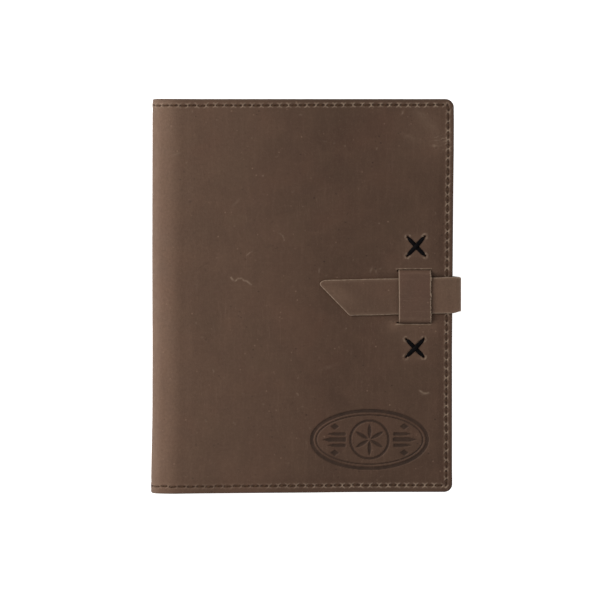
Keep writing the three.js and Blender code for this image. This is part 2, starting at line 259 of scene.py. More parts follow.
def ornament(x, y):
    """Depth from 0 to 1 of a plain geometric ornament."""
    u, v = x - EMB[0], y - EMB[1]
    out = np.zeros_like(u)

    def cut(d, w, soft=0.28):
        return smooth((w + soft / 2 - d) / soft)

    def ellipse(rx, ry, w):
        k = np.hypot(u / rx, v / ry)
        g = np.hypot(u / rx**2, v / ry**2) + 1e-9
        return cut(np.abs(k - 1) * k / g, w)

    out = np.maximum(out, ellipse(32.4, 16.3, 0.95))
    out = np.maximum(out, ellipse(29.9, 13.9, 0.34))
    r = np.hypot(u, v)
    R = 9.6
    inside = cut(r - R, 0.0, 0.3)
    for k in range(6):
        a = math.pi / 3 * k + math.pi / 6
        # a petal is where two circles overlap
        p1 = (R * math.cos(a - math.pi / 3), R * math.sin(a - math.pi / 3))
        p2 = (R * math.cos(a + math.pi / 3), R * math.sin(a + math.pi / 3))
        d = np.maximum(np.hypot(u - p1[0], v - p1[1]), np.hypot(u - p2[0], v - p2[1])) - R
        petal = cut(d + 0.30, 0.0, 0.3)
        out = np.maximum(out, petal * inside)
    out = np.maximum(out, cut(np.abs(r - R - 1.1), 0.62))
    for side in (-1, 1):
        for row, (x0, x1, hw) in enumerate([(13.2, 27.4, 1.25), (13.4, 24.8, 0.95), (13.4, 24.8, 0.95)]):
            vy = v - (0, 3.2, -3.2)[row]
            w = hw * smooth((x1 - side * u) / 6.0) * smooth((side * u - x0) / 0.6 + 0.5)
            out = np.maximum(out, cut(np.abs(vy) - w, 0.0, 0.25) * (side * u > x0) * (side * u < x1))
        d = np.abs(u - side * 19.5) / 2.4 + np.abs(np.abs(v) - 7.4) / 1.8
        out = np.maximum(out, cut((d - 1) * 1.3, 0.0, 0.35))
    return out


# ---- keeper slits and lace holes ----
SLIT_X = (K_LO[0] - 1.6, K_HI[0] + 0.5)
SLITS = [(14.15, 1), (-14.85, -1)]


def middle(node):
    lo, hi = box_mm(node)
    return (lo[:2] + hi[:2]) / 2


U_AT, L_AT = middle("upper_cross_lace"), middle("lower_cross_lace")
CROSS = [
    ("upper", U_AT[0] + 0.15, U_AT[1], ((-4.8, 5.2), (4.8, 5.5), (-5.0, -5.4), (5.1, -5.3))),
    ("lower", L_AT[0] + 0.15, L_AT[1] - 0.2, ((-5.0, 5.1), (4.9, 5.3), (-5.1, -4.8), (4.8, -4.8))),
]
HOLES = [(cx + dx, cy + dy) for _, cx, cy, ends in CROSS for dx, dy in ends]


def front_detail(s, y):
    """Height of the outer face, and its amounts of wear and painted highlight (pale), rubbed or fibrous hide and
    painted highlight (chalk) and darkening from marks and painted shade (dark).
    """
    x = FORE_X - s
    d = edge_distance(s, y)
    h = np.zeros_like(s)
    pale = np.zeros_like(s)
    chalk = np.zeros_like(s)
    dark = np.zeros_like(s)
    flat = smooth((S_FLAT - 2 - s) / 6)
    # gentle waves of a hide laid over a board
    h += 0.10 * fractal(s, y, 46, 3) + 0.05 * fractal(s, y, 15, 9, 2)
    h *= smooth((d - 2) / 8)
    # the border is pressed flat, and the middle stands over the board
    h += 0.42 * smooth((d - 4.4) / 4.5) * flat + 0.18 * smooth((d - 4.4) / 4.5) * (1 - flat)
    # cut edge
    e = np.clip(d, 0, 0.55)
    h -= 0.5 - np.sqrt(np.maximum(0.25 - (0.5 - np.minimum(e / 0.55 * 0.5, 0.5)) ** 2, 0))
    # stitches: the thread lies in a shallow groove, and the hide is pushed up beside each hole
    a, b, k = stitch_local(s, y)
    ae = HALF_PITCH - np.abs(a)  # from the middle of the bridge between two stitches
    on = np.abs(b) < 3
    gap = k * 2 + (a > 0)  # each end of each stitch is a little different
    r = np.random.default_rng(23).uniform(0.35, 1.25, (2 * N_STITCH + 2, 2))
    own = np.where(b > 0, r[gap, 0], r[gap, 1])
    groove = gauss(b, 0.58)
    h += np.where(on, -0.30 * groove * smooth((ae - 0.2) / 0.7), 0)
    lean = np.abs(b) - 0.35 - 0.75 * ae
    flare = gauss(lean, 0.34) * smooth((2.0 - ae) / 0.9) * smooth((1.75 - np.abs(b)) / 0.6)
    bridge = gauss(ae, 0.50) * gauss(b, 0.85)
    h += np.where(on, (0.17 * flare * own + 0.13 * bridge), 0)
    hole = gauss(ae - 0.62, 0.26) * gauss(b, 0.30)
    h += np.where(on, -0.55 * hole, 0)
    h += np.where(on, 0.09 * gauss(np.abs(b) - 1.15, 0.45), 0)
    # the holes stand out less along the tail and towards the spine
    plain = 1 - smooth((s - 40) / 90) * np.where(y < 0, 0.72, 0.30)
    chalk += np.where(on, plain * (0.54 * flare * own + 0.44 * bridge * (0.6 + 0.4 * own)), 0)
    outer = np.where(edge_distance(s, y) < SEAM + 0.3, 1.0, 0.6)
    chalk += np.where(on, 0.16 * plain * outer * gauss(np.abs(b) - 1.05, 0.40) * (0.7 + 0.5 * value_noise(s, y, 1.7, 29)), 0)
    # painted shade in the thread's groove and inside each stitch hole
    dark += np.where(on, 0.30 * gauss(b, 0.44) * smooth((ae - 0.5) / 0.6) + 1.0 * hole, 0)
    # cut edges
    dark += 0.55 * gauss(d, 0.30) + 0.10 * gauss(d - 0.9, 0.9)
    chalk += 0.12 * gauss(d - 0.45, 0.2) * np.clip(value_noise(s, y, 1.3, 31) + 0.2, 0, 1)
    return x, h, pale, chalk, dark


def scratches():
    out = [
        ([(-42.4, 10.4), (-41.2, 8.8), (-40.0, 8.4), (-38.6, 9.8), (-36.4, 9.9), (-35.0, 8.6), (-33.4, 8.2), (-31.0, 6.4)], 0.42, 0.52),
        ([(-33.6, 22.8), (-32.0, 24.2), (-30.4, 25.0)], 0.35, 0.25),
        ([(-15.2, 35.0), (-13.4, 33.6), (-12.6, 31.2)], 0.35, 0.24),
        ([(-60.0, 16.0), (-57.0, 17.6), (-55.0, 18.9)], 0.32, -0.25),
        ([(-20.6, 40.4), (-19.0, 42.0)], 0.40, -0.35),
        ([(-24.0, 27.6), (-21.5, 27.4), (-20.2, 28.2)], 0.36, -0.30),
        ([(63.6, -52.9), (65.2, -53.9), (66.8, -54.6), (68.6, -54.1)], 0.45, 0.38),
        ([(55.0, -66.0), (57.8, -63.0), (60.6, -60.8)], 0.34, -0.22),
    ]
    r = np.random.default_rng(101)
    for _ in range(120):
        px, py = r.uniform(-70, 82), r.uniform(-101, 103)
        ang, ln = r.uniform(0, math.pi), r.uniform(0.3, 1.3)
        bow = r.normal(0, 0.25)
        c, n = math.cos(ang), math.sin(ang)
        k = r.uniform(0.10, 0.24) if r.random() < 0.3 else -r.uniform(0.14, 0.38)
        out.append(([(px, py), (px + ln * c / 2 - bow * n, py + ln * n / 2 + bow * c), (px + ln * c, py + ln * n)], r.uniform(0.26, 0.46), k))
    return out


SCRATCHES = scratches()


def front_marks(x, y, h, pale, chalk, dark):
    # the fore-edge is handled most
    pale += 0.125 * np.exp(-(((x - 68) / 17) ** 2) - ((y - 92) / 17) ** 2)
    # slits: painted shade in each opening, and a painted highlight along each lip
    for sy, side in SLITS:
        lip = (y - sy) * side  # positive away from the strap
        ends = smooth((x - SLIT_X[0] + 0.3) / 0.7) * smooth((SLIT_X[1] + 0.3 - x) / 0.7)
        open_w = 0.48 * smooth((x - SLIT_X[0] + 0.5) / 2.2) * smooth((SLIT_X[1] + 0.2 - x) / 1.0)
        h += -1.7 * ends * smooth((open_w - np.abs(lip)) / 0.35)
        h += 0.36 * ends * gauss(lip - 1.05, 0.42)
        chalk += 0.80 * ends * gauss(lip - 0.98, 0.30) * (0.8 + 0.4 * value_noise(x, y, 1.1, 33))
        dark += 0.9 * ends * smooth((open_w - np.abs(lip)) / 0.3)
        # the hide is drawn up where the band goes in
        around = np.hypot(np.maximum(np.maximum(SLIT_X[0] - x, x - SLIT_X[1]), 0), np.maximum(np.abs(lip) - 1, 0))
        soft = 1.5 if side < 0 else 0.8
        pale += soft * (0.07 * gauss(around, 5.0) * (lip > -1) + 0.035 * gauss(around, 9))
        h += 0.16 * gauss(around, 4.0) * (lip > 0.8)
        if side < 0:
            pale += 0.10 * np.exp(-(((x - SLIT_X[0] + 1.0) / 3.4) ** 2) - (((y - sy) + 1.2) / 2.6) ** 2)
    # strap bed
    inside = smooth((11.6 - np.abs(y - 0.35)) / 1.4) * smooth((x - 6) / 8)
    h -= 0.22 * inside
    # painted shadow on the cover along the strap's upper edge, near the fore-edge
    dark += 0.34 * smooth((x - 68) / 4) * gauss(np.maximum(y - 10.4, 0), 1.7) * (y > 8)
    # lace holes: painted shade inside each hole, and a pale rim that is partly pulled-up hide and partly painted
    # highlight
    for hx, hy in HOLES:
        r = np.hypot(x - hx, y - hy)
        h += -1.3 * smooth((0.75 - r) / 0.5) + 0.20 * gauss(r - 1.35, 0.6)
        chalk += 0.40 * gauss(r - 1.35, 0.5) * np.clip(0.6 + 0.9 * value_noise(x, y, 0.9, 21), 0, 1.4)
        dark += 0.8 * smooth((0.75 - r) / 0.3)
    for _, cx, cy, ends in CROSS:
        r = np.maximum(np.abs(x - cx), np.abs(y - cy))
        pale += 0.10 * gauss(np.maximum(r - 4, 0), 3.4)
        for (ax, ay), (bx, by) in ((ends[0], ends[3]), (ends[1], ends[2])):
            p = np.array([cx + ax, cy + ay])
            q = np.array([cx + bx, cy + by])
            u = (q - p) / np.linalg.norm(q - p)
            al = (x - p[0]) * u[0] + (y - p[1]) * u[1]
            ac = np.abs(-(x - p[0]) * u[1] + (y - p[1]) * u[0])
            L = np.linalg.norm(q - p)
            h += -0.35 * smooth((1.5 - ac) / 0.8) * smooth(al / 1.5) * smooth((L - al) / 1.5)
            # painted shade on the hide along each side of the lace arm
            dark += 0.35 * gauss(np.maximum(ac - 0.9, 0), 0.4) * smooth(al / 1.0) * smooth((L - al) / 1.0)
    # ornament
    near = (np.abs(x - EMB[0]) < 36) & (np.abs(y - EMB[1]) < 20)
    o, lit, shade = np.zeros_like(x), np.zeros_like(x), np.zeros_like(x)
    o[near] = ornament(x[near], y[near])
    # the pressed edge catches the light on its far side and is shaded on the near one
    lit[near] = np.clip(ornament(x[near] - 0.45, y[near] + 0.30) - o[near], 0, 1)
    shade[near] = np.clip(o[near] - ornament(x[near] - 0.30, y[near] + 0.20), 0, 1)
    h -= 0.34 * o
    uneven = 0.5 + 0.5 * value_noise(x, y, 1.6, 151) + 0.3 * value_noise(x, y, 6.0, 153)
    dark += (0.62 + 0.22 * np.clip(uneven, 0, 1)) * o + 0.12 * shade
    pale += 0.10 * lit
    # scuffs and wrinkles near the fore-edge
    wx, wy = 75.4, 85.6
    zone = np.exp(-(((x - wx) / 4.6) ** 2) - ((y - wy) / 3.6) ** 2)
    phase = (y - wy) * 3.7 + 3.4 * value_noise(x, y, 2.6, 41) + 1.2 * value_noise(x, y, 1.0, 43) - 0.45 * (x - wx)
    rid = np.sin(phase) ** 5 * np.clip(0.7 + 0.9 * value_noise(x, y, 1.8, 47), 0, 1.3)
    h += 0.18 * zone * rid
    chalk += 0.62 * zone * np.clip(rid, 0, 1) + 0.06 * zone
    for wx, wy, ang, lx, ly, k in (
        (66.5, 98.0, -0.80, 9.5, 2.8, 0.085),
        (63.0, 102.5, -0.55, 3.0, 1.5, 0.09),
        (53.2, 102.6, 1.1, 1.1, 0.32, 0.6),
        (66.8, -54.8, 0.1, 2.6, 0.8, 0.16),
        (-73.0, 79.5, 0.2, 1.6, 0.4, 0.35),
        (-62.0, 5.0, 1.5, 3.0, 0.4, 0.22),
        (7.2, 14.4, 1.45, 1.2, 0.35, 0.45),
        (36.2, 14.6, 1.2, 1.5, 0.5, 0.35),
        (38.8, 14.0, 1.9, 1.8, 0.4, 0.28),
        (41.5, 15.4, 0.3, 1.0, 0.35, 0.25),
        (-40.0, 52.0, 0.9, 3.6, 0.5, 0.14),
        (12.0, -40.0, 0.3, 5.0, 0.7, 0.12),
        (57.0, 89.0, -0.4, 6.0, 1.0, 0.13),
    ):
        c, n = math.cos(ang), math.sin(ang)
        u, v = (x - wx) * c + (y - wy) * n, -(x - wx) * n + (y - wy) * c
        g = np.exp(-((u / lx) ** 2) - (v / ly) ** 2)
        chalk += 0.8 * k * g * (0.8 + 0.4 * value_noise(x, y, 0.8, 61))
        h += 0.05 * g
    # fine scratches: (points, width, strength), a negative strength is a dark one
    for pts, wd, k in SCRATCHES:
        pts = np.array(pts)
        lo, hi = pts.min(0) - 2, pts.max(0) + 2
        near = np.where((x > lo[0]) & (x < hi[0]) & (y > lo[1]) & (y < hi[1]))[0]
        if not len(near):
            continue
        q = np.stack([x[near], y[near]], 1)
        best = np.full(len(near), 99.0)
        for a, b in zip(pts[:-1], pts[1:]):
            ab = b - a
            w = np.clip(((q - a) @ ab) / (ab @ ab), 0, 1)
            best = np.minimum(best, np.linalg.norm(q - a - w[:, None] * ab, axis=1))
        g = gauss(best, wd) * (0.75 + 0.5 * value_noise(q[:, 0], q[:, 1], 0.9, 91))
        if k > 0:
            chalk[near] += k * g
            h[near] += 0.05 * g
        else:
            dark[near] -= k * g
            h[near] -= 0.06 * g
    return h, pale, chalk, dark


# ---- meshes ----
def new_object(name, verts, faces, attrs=None, smooth_angle=None, material=None):
    me = bpy.data.meshes.new(name)
    me.from_pydata((np.asarray(verts) * MM).tolist(), [], faces)
    me.validate()
    me.update()
    for key, val in (attrs or {}).items():
        val = np.asarray(val, np.float32)
        if val.ndim == 2:
            at = me.attributes.new(key, "FLOAT_VECTOR", "POINT")
            at.data.foreach_set("vector", val.ravel())
        else:
            at = me.attributes.new(key, "FLOAT", "POINT")
            at.data.foreach_set("value", val)
    me.shade_smooth()
    if smooth_angle:
        me.set_sharp_from_angle(angle=math.radians(smooth_angle))
    ob = bpy.data.objects.new(name, me)
    bpy.context.scene.collection.objects.link(ob)
    if material:
        me.materials.append(material)
    return ob


def quad_mesh(want):
    """Square cells of 1, 2 or 4 units that are at most as large as want says, as faces on a lattice of (nx+1, ny+1) points."""
    nx, ny = want.shape
    w4 = want.reshape(nx // 4, 4, ny // 4, 4).min(axis=(1, 3))
    w2 = want.reshape(nx // 2, 2, ny // 2, 2).min(axis=(1, 3))
    cells = []
    for i, j in np.argwhere(w4 >= 4):
        cells.append((i * 4, j * 4, 4))
    in4 = np.repeat(np.repeat(w4 >= 4, 2, 0), 2, 1)
    for i, j in np.argwhere((w2 >= 2) & ~in4):
        cells.append((i * 2, j * 2, 2))
    in2 = np.repeat(np.repeat((w2 >= 2) | in4, 2, 0), 2, 1)
    ones = np.argwhere(~in2)
    mark = np.zeros((nx + 1, ny + 1), bool)
    for i, j, n in cells:
        for a, b in ((0, 0), (n, 0), (0, n), (n, n)):
            mark[i + a, j + b] = True
    for a, b in ((0, 0), (1, 0), (0, 1), (1, 1)):
        mark[ones[:, 0] + a, ones[:, 1] + b] = True
    vid = np.full((nx + 1, ny + 1), -1)
    pts = np.argwhere(mark)
    vid[pts[:, 0], pts[:, 1]] = np.arange(len(pts))
    faces = []
    if len(ones):
        i, j = ones[:, 0], ones[:, 1]
        faces += np.stack([vid[i, j], vid[i + 1, j], vid[i + 1, j + 1], vid[i, j + 1]], 1).tolist()
    for i, j, n in cells:
        ring = [(i + k, j) for k in range(n)] + [(i + n, j + k) for k in range(n)]
        ring += [(i + n - k, j + n) for k in range(n)] + [(i, j + n - k) for k in range(n)]
        faces.append([int(vid[p]) for p in ring if mark[p]])
    border = [(i, 0) for i in range(nx)] + [(nx, j) for j in range(ny)]
    border += [(i, ny) for i in range(nx, 0, -1)] + [(0, j) for j in range(ny, 0, -1)]
    ring = [int(vid[p]) for p in border if mark[p]]
    return pts, faces, ring, vid


def corner_warp(s, y, r):
    """Rounds the two fore-edge corners of a square lattice."""
    s, y = s.copy(), y.copy()
    side = np.sign(y)
    a = (np.abs(y) - (HALF_H - r)) / r
    b = (r - s) / r
    m = (a > 0) & (b > 0)
    am, bm = a[m], b[m]
    a2 = am * np.sqrt(1 - bm**2 / 2)
    b2 = bm * np.sqrt(1 - am**2 / 2)
    y[m] = side[m] * (HALF_H - r + a2 * r)
    s[m] = r - b2 * r
    return s, y


def squeeze(d):
    """Draws the lattice in towards a cut edge."""
    return np.interp(d, [0, 0.4, 0.8, 1.2, 1.6, 2.4], [0, 0.10, 0.28, 0.58, 1.05, 2.4])


def hide_piece(name, s0, s1, material, back=False, detail=True):
    length = s1 - s0
    nx = int(math.ceil(length / 0.4 / 4)) * 4
    ny = int(math.ceil(2 * HALF_H / 0.4 / 4)) * 4
    ci = s0 + (np.arange(nx) + 0.5) * length / nx
    cj = -HALF_H + (np.arange(ny) + 0.5) * 2 * HALF_H / ny
    S, Y = np.meshgrid(ci, cj, indexing="ij")
    D = edge_distance(S, Y)
    want = np.full((nx, ny), 4)
    want[D < 12] = 2
    want[S > S_FLAT - 6] = 2
    want[D < 5.4] = 1
    if not back and s0 == 0:
        X = FORE_X - S
        want[(np.abs(X - EMB[0]) < 34) & (np.abs(Y - EMB[1]) < 18)] = 1
        want[(X > 47) & (X < 75) & (np.abs(np.abs(Y - 0.4) - 15) < 4)] = 1
        for _, cx, cy, _ in CROSS:
            want[(np.abs(X - cx) < 9) & (np.abs(Y - cy) < 9)] = 1
        want[(X > 66) & (np.abs(Y - 86) < 9)] = 1
        for line, _, _ in SCRATCHES:
            lo, hi = np.array(line).min(0) - 0.9, np.array(line).max(0) + 0.9
            want[(X > lo[0]) & (X < hi[0]) & (Y > lo[1]) & (Y < hi[1])] = 1
        want[(X > 4) & (np.abs(Y) < 22)] = np.minimum(want[(X > 4) & (np.abs(Y) < 22)], 2)
    pts, faces, ring, vid = quad_mesh(want)
    s = s0 + pts[:, 0] * length / nx
    y = -HALF_H + pts[:, 1] * 2 * HALF_H / ny
    if s0 == 0:
        s = np.where(s < 2.4, squeeze(s), s)
    dy = HALF_H - np.abs(y)
    y = np.where(dy < 2.4, np.sign(y) * (HALF_H - squeeze(dy)), y)
    if s0 == 0:
        s, y = corner_warp(s, y, CORNER_R)
    x, h, pale, chalk, dark = front_detail(s, y)
    if back:
        h = h - 0.42 * smooth((edge_distance(s, y) - 4.4) / 4.5) * smooth((S_FLAT - 2 - s) / 6)
        h = h - 0.10
        tx, ty = x, y
        c, n = math.cos(STRAP_TILT), math.sin(STRAP_TILT)
        lx = (tx - STRAP_AT[0]) * c + (ty - STRAP_AT[1]) * n
        ly = -(tx - STRAP_AT[0]) * n + (ty - STRAP_AT[1]) * c
        q = np.maximum(np.abs(lx + 18) - 7.5, np.abs(ly) - 7.2)
        h -= 0.25 * gauss(q, 0.7)
        pale += 0.10 * gauss(q - 1.0, 0.8)
    else:
        h, pale, chalk, dark = front_marks(x, y, h, pale, chalk, dark)
    # the hide pales where it bends, from wear, and carries a painted light falloff that lightens the panel towards the
    # spine and a painted highlight on the spine's bend
    wear_and_highlight = 0.12 * smooth((s - 60) / 75) + 0.04 * smooth((s - S_PALE_SPINE + 12) / 16)
    wear_and_highlight += 0.155 * smooth((s - S_PALE_SPINE - 1) / 11) - 0.03 * smooth((s - S_PALE_SPINE - 10) / 5)
    # painted reflection: the spine's outer edge is greyed towards the chalky colour
    chalk += 0.10 * smooth((s - S_PALE_SPINE - 15) / 5) * (0.8 + 0.4 * value_noise(s, y, 2.4, 83))
    pale += wear_and_highlight * (0.92 + 0.16 * fractal(s, y / 3, 7, 77, 2))
    verts = on_wrap(s, y, h, back)
    rest = np.stack([s, y, h], 1)
    if back:
        rest[:, 0] = 2 * L_ALL - rest[:, 0]
    n0 = len(verts)
    ring = np.array(ring)
    rs, ry = s[ring], y[ring]
    # wall and underside
    layers = [(0.0, -1.2, 0.9), (0.16, -HIDE, 0.6)]
    all_v, all_r, all_p, all_c, all_d = [verts], [rest], [pale], [chalk], [dark]
    prev = ring
    out_faces = list(faces)
    for inset, depth, dk in layers:
        ss, yy = rs.copy(), ry.copy()
        if inset:
            cs, cy = np.maximum(ss, 0), yy
            yy = np.clip(yy, -HALF_H + inset, HALF_H - inset)
            if s0 == 0:
                ss = np.maximum(ss, inset)
        v = on_wrap(ss, yy, np.full(len(ss), depth), back)
        idx = n0 + np.arange(len(ring))
        n0 += len(ring)
        k = len(ring)
        for i in range(k):
            j = (i + 1) % k
            out_faces.append([int(prev[j]), int(prev[i]), int(idx[i]), int(idx[j])])
        all_v.append(v)
        r2 = np.stack([rs, ry, np.full(k, depth)], 1)
        if back:
            r2[:, 0] = 2 * L_ALL - r2[:, 0]
        all_r.append(r2)
        all_p.append(np.full(k, 0.05))
        all_c.append(np.zeros(k))
        all_d.append(np.full(k, dk))
        prev = idx
    # underside: long cells across the height where the wrap bends, one face over the flat
    lo = [i for i in range(len(ring)) if abs(ry[i] + HALF_H) < 1e-6]
    hi = [i for i in range(len(ring)) if abs(ry[i] - HALF_H) < 1e-6]
    key = lambda i: round(float(rs[i]), 5)
    lo_s = {key(i): i for i in lo}
    hi_s = {key(i): i for i in hi}
    start = max(s0, S_FLAT - 2)
    cols = sorted(k for k in lo_s if k in hi_s and k >= start - 1e-4)
    if s0 == 0:
        first = cols[0]
        flat_ring = [i for i in range(len(ring)) if rs[i] <= first + 1e-6]
        # keep ring order, starting at the low-y end of the first column
        order = sorted(flat_ring, key=lambda i: (i - lo_s[first]) % len(ring))
        # ring runs s up along low y, so the flat part runs from hi first column round to lo first column
        st = hi_s[first]
        order = sorted(flat_ring, key=lambda i: (i - st) % len(ring))
        out_faces.append([int(prev[i]) for i in order][::-1])
    last = len(cols) - 2
    for c in range(len(cols) - 1):
        a0, a1 = lo_s[cols[c]], lo_s[cols[c + 1]]
        b0, b1 = hi_s[cols[c]], hi_s[cols[c + 1]]
        mid = []
        if c == last:
            mid = [i for i in range(len(ring)) if abs(rs[i] - cols[-1]) < 1e-4 and abs(ry[i]) < HALF_H - 1e-6]
            mid.sort(key=lambda i: ry[i])
        pre = []
        if c == 0 and s0 != 0:
            pre = [i for i in range(len(ring)) if abs(rs[i] - cols[0]) < 1e-4 and abs(ry[i]) < HALF_H - 1e-6]
            pre.sort(key=lambda i: -ry[i])
        f = [a0, a1] + mid + [b1, b0] + pre
        out_faces.append([int(prev[i]) for i in f][::-1])
    verts = np.concatenate(all_v)
    if back:
        out_faces = [f for f in out_faces]
    else:
        out_faces = [f[::-1] for f in out_faces]
    ob = new_object(
        name,
        verts,
        out_faces,
        {"rest": np.concatenate(all_r) * MM, "pale": np.concatenate(all_p), "chalk": np.concatenate(all_c), "dark": np.concatenate(all_d)},
        55,
        material,
    )
    return ob


def grid_slab(name, nu, nv, place, attrs, material, angle=50, wall=((0.5, 0.0),)):
    """A closed slab: place(i, j, side) gives points for lattice indices, side 1 the outer face and 0 the inner. Walls join the rims."""
    I, J = np.meshgrid(np.arange(nu), np.arange(nv), indexing="ij")
    I, J = I.ravel(), J.ravel()
    top = place(I, J, 1.0)
    bot = place(I, J, 0.0)
    vid = np.arange(nu * nv).reshape(nu, nv)
    a, b, c, d = vid[:-1, :-1], vid[1:, :-1], vid[1:, 1:], vid[:-1, 1:]
    up = np.stack([a, b, c, d], -1).reshape(-1, 4)
    m = nu * nv
    faces = up.tolist() + (up[:, ::-1] + m).tolist()
    rim = list(vid[:-1, 0]) + list(vid[-1, :-1]) + list(vid[:0:-1, -1]) + list(vid[0, :0:-1])
    rim = np.array(rim)
    verts = [top, bot]
    n = 2 * m
    rows = [rim]
    extra = []
    for t, bulge in wall:
        p = top[rim] * (1 - t) + bot[rim] * t
        if bulge:
            q = np.roll(p, -1, 0) - np.roll(p, 1, 0)
            w = bot[rim] - top[rim]
            nrm = np.cross(q, w)
            nrm /= np.linalg.norm(nrm, axis=1)[:, None] + 1e-9
            p = p + nrm * bulge
        verts.append(p)
        rows.append(n + np.arange(len(rim)))
        extra.append(rim)
        n += len(rim)
    rows.append(rim + m)
    for r0, r1 in zip(rows[:-1], rows[1:]):
        k = len(rim)
        for i in range(k):
            j = (i + 1) % k
            faces.append([int(r0[j]), int(r0[i]), int(r1[i]), int(r1[j])])
    out = {}
    for key, val in attrs(I, J).items():
        val = np.asarray(val, float)
        out[key] = np.concatenate([val, val] + [val[e] for e in extra])
    if "rest" in out:
        z = np.zeros(len(out["rest"]))
        z[m : 2 * m] = -1.0
        z[2 * m :] = -0.5
        out["rest"][:, 2] += z * MM
    verts = np.concatenate(verts)
    ob = new_object(name, verts, faces, out, angle, material)
    fix_normals(ob)
    return ob


def fix_normals(ob):
    bm = bmesh.new()
    bm.from_mesh(ob.data)
    bmesh.ops.recalc_face_normals(bm, faces=bm.faces)
    bm.to_mesh(ob.data)
    bm.free()


def tag_wall(ob, first, key, value):
    at = ob.data.attributes[key]
    v = np.zeros(len(ob.data.vertices), np.float32)
    at.data.foreach_get("value", v)
    v[first:] = value
    at.data.foreach_set("value", v)


# ---- materials ----
class Nodes:
    def __init__(self, name):
        self.m = bpy.data.materials.new(name)
        self.m.use_nodes = True
        self.t = self.m.node_tree
        self.bsdf = self.t.nodes["Principled BSDF"]

    def new(self, kind, **props):
        n = self.t.nodes.new(kind)
        for k, v in props.items():
            setattr(n, k, v)
        return n

    def put(self, socket, value):
        if isinstance(value, bpy.types.NodeSocket):
            self.t.links.new(value, socket)
        else:
            socket.default_value = value

    def attr(self, name, out="Fac"):
        n = self.new("ShaderNodeAttribute", attribute_name=name)
        return n.outputs[out]

    def scaled(self, vec, scale):
        n = self.new("ShaderNodeMapping")
        self.put(n.inputs["Vector"], vec)
        n.inputs["Scale"].default_value = scale
        return n.outputs[0]

    def noise(self, vec, scale, detail=3.0, rough=0.5, distort=0.0):
        n = self.new("ShaderNodeTexNoise")
        self.put(n.inputs["Vector"], vec)
        n.inputs["Scale"].default_value = scale
        n.inputs["Detail"].default_value = detail
        n.inputs["Roughness"].default_value = rough
        n.inputs["Distortion"].default_value = distort
        return n.outputs["Fac"]

    def voronoi(self, vec, scale, feature="F1", out="Distance"):
        n = self.new("ShaderNodeTexVoronoi", feature=feature)
        self.put(n.inputs["Vector"], vec)
        n.inputs["Scale"].default_value = scale
        return n.outputs[out]

    def math(self, op, a, b=0.0, c=None, clamp=False):
        n = self.new("ShaderNodeMath", operation=op, use_clamp=clamp)
        self.put(n.inputs[0], a)
        self.put(n.inputs[1], b)
        if c is not None:
            self.put(n.inputs[2], c)
        return n.outputs[0]

    def span(self, v, a, b, c=0.0, d=1.0):
        n = self.new("ShaderNodeMapRange")
        self.put(n.inputs["Value"], v)
        for k, x in zip(("From Min", "From Max", "To Min", "To Max"), (a, b, c, d)):
            n.inputs[k].default_value = x
        return n.outputs[0]

    def mix(self, f, a, b):
        n = self.new("ShaderNodeMix", data_type="RGBA")
        self.put(n.inputs["Factor"], f)
        for key, v in (("A", a), ("B", b)):
            s = [i for i in n.inputs if i.name == key and i.type == "RGBA"][0]
            if isinstance(v, tuple):
                v = (*v[:3], 1.0)
            self.put(s, v)
        return [o for o in n.outputs if o.type == "RGBA"][0]

    def bump(self, height, strength, distance, normal=None):
        n = self.new("ShaderNodeBump")
        self.put(n.inputs["Height"], height)
        n.inputs["Strength"].default_value = strength
        n.inputs["Distance"].default_value = distance
        if normal is not None:
            self.put(n.inputs["Normal"], normal)
        return n.outputs[0]

    def done(self, color=None, rough=None, normal=None, spec=0.35, sheen=0.0, sheen_rough=0.5):
        b = self.bsdf
        if color is not None:
            self.put(b.inputs["Base Color"], color if not isinstance(color, tuple) else (*color[:3], 1.0))
        if rough is not None:
            self.put(b.inputs["Roughness"], rough)
        if normal is not None:
            self.put(b.inputs["Normal"], normal)
        b.inputs["Specular IOR Level"].default_value = spec
        b.inputs["Sheen Weight"].default_value = sheen
        b.inputs["Sheen Roughness"].default_value = sheen_rough
        return self.m


def srgb(r, g, b, k=1.0):
    f = lambda c: (c / 255 / 12.92) if c / 255 <= 0.04045 else ((c / 255 + 0.055) / 1.055) ** 2.4
    return tuple(f(c) * k for c in (r, g, b))


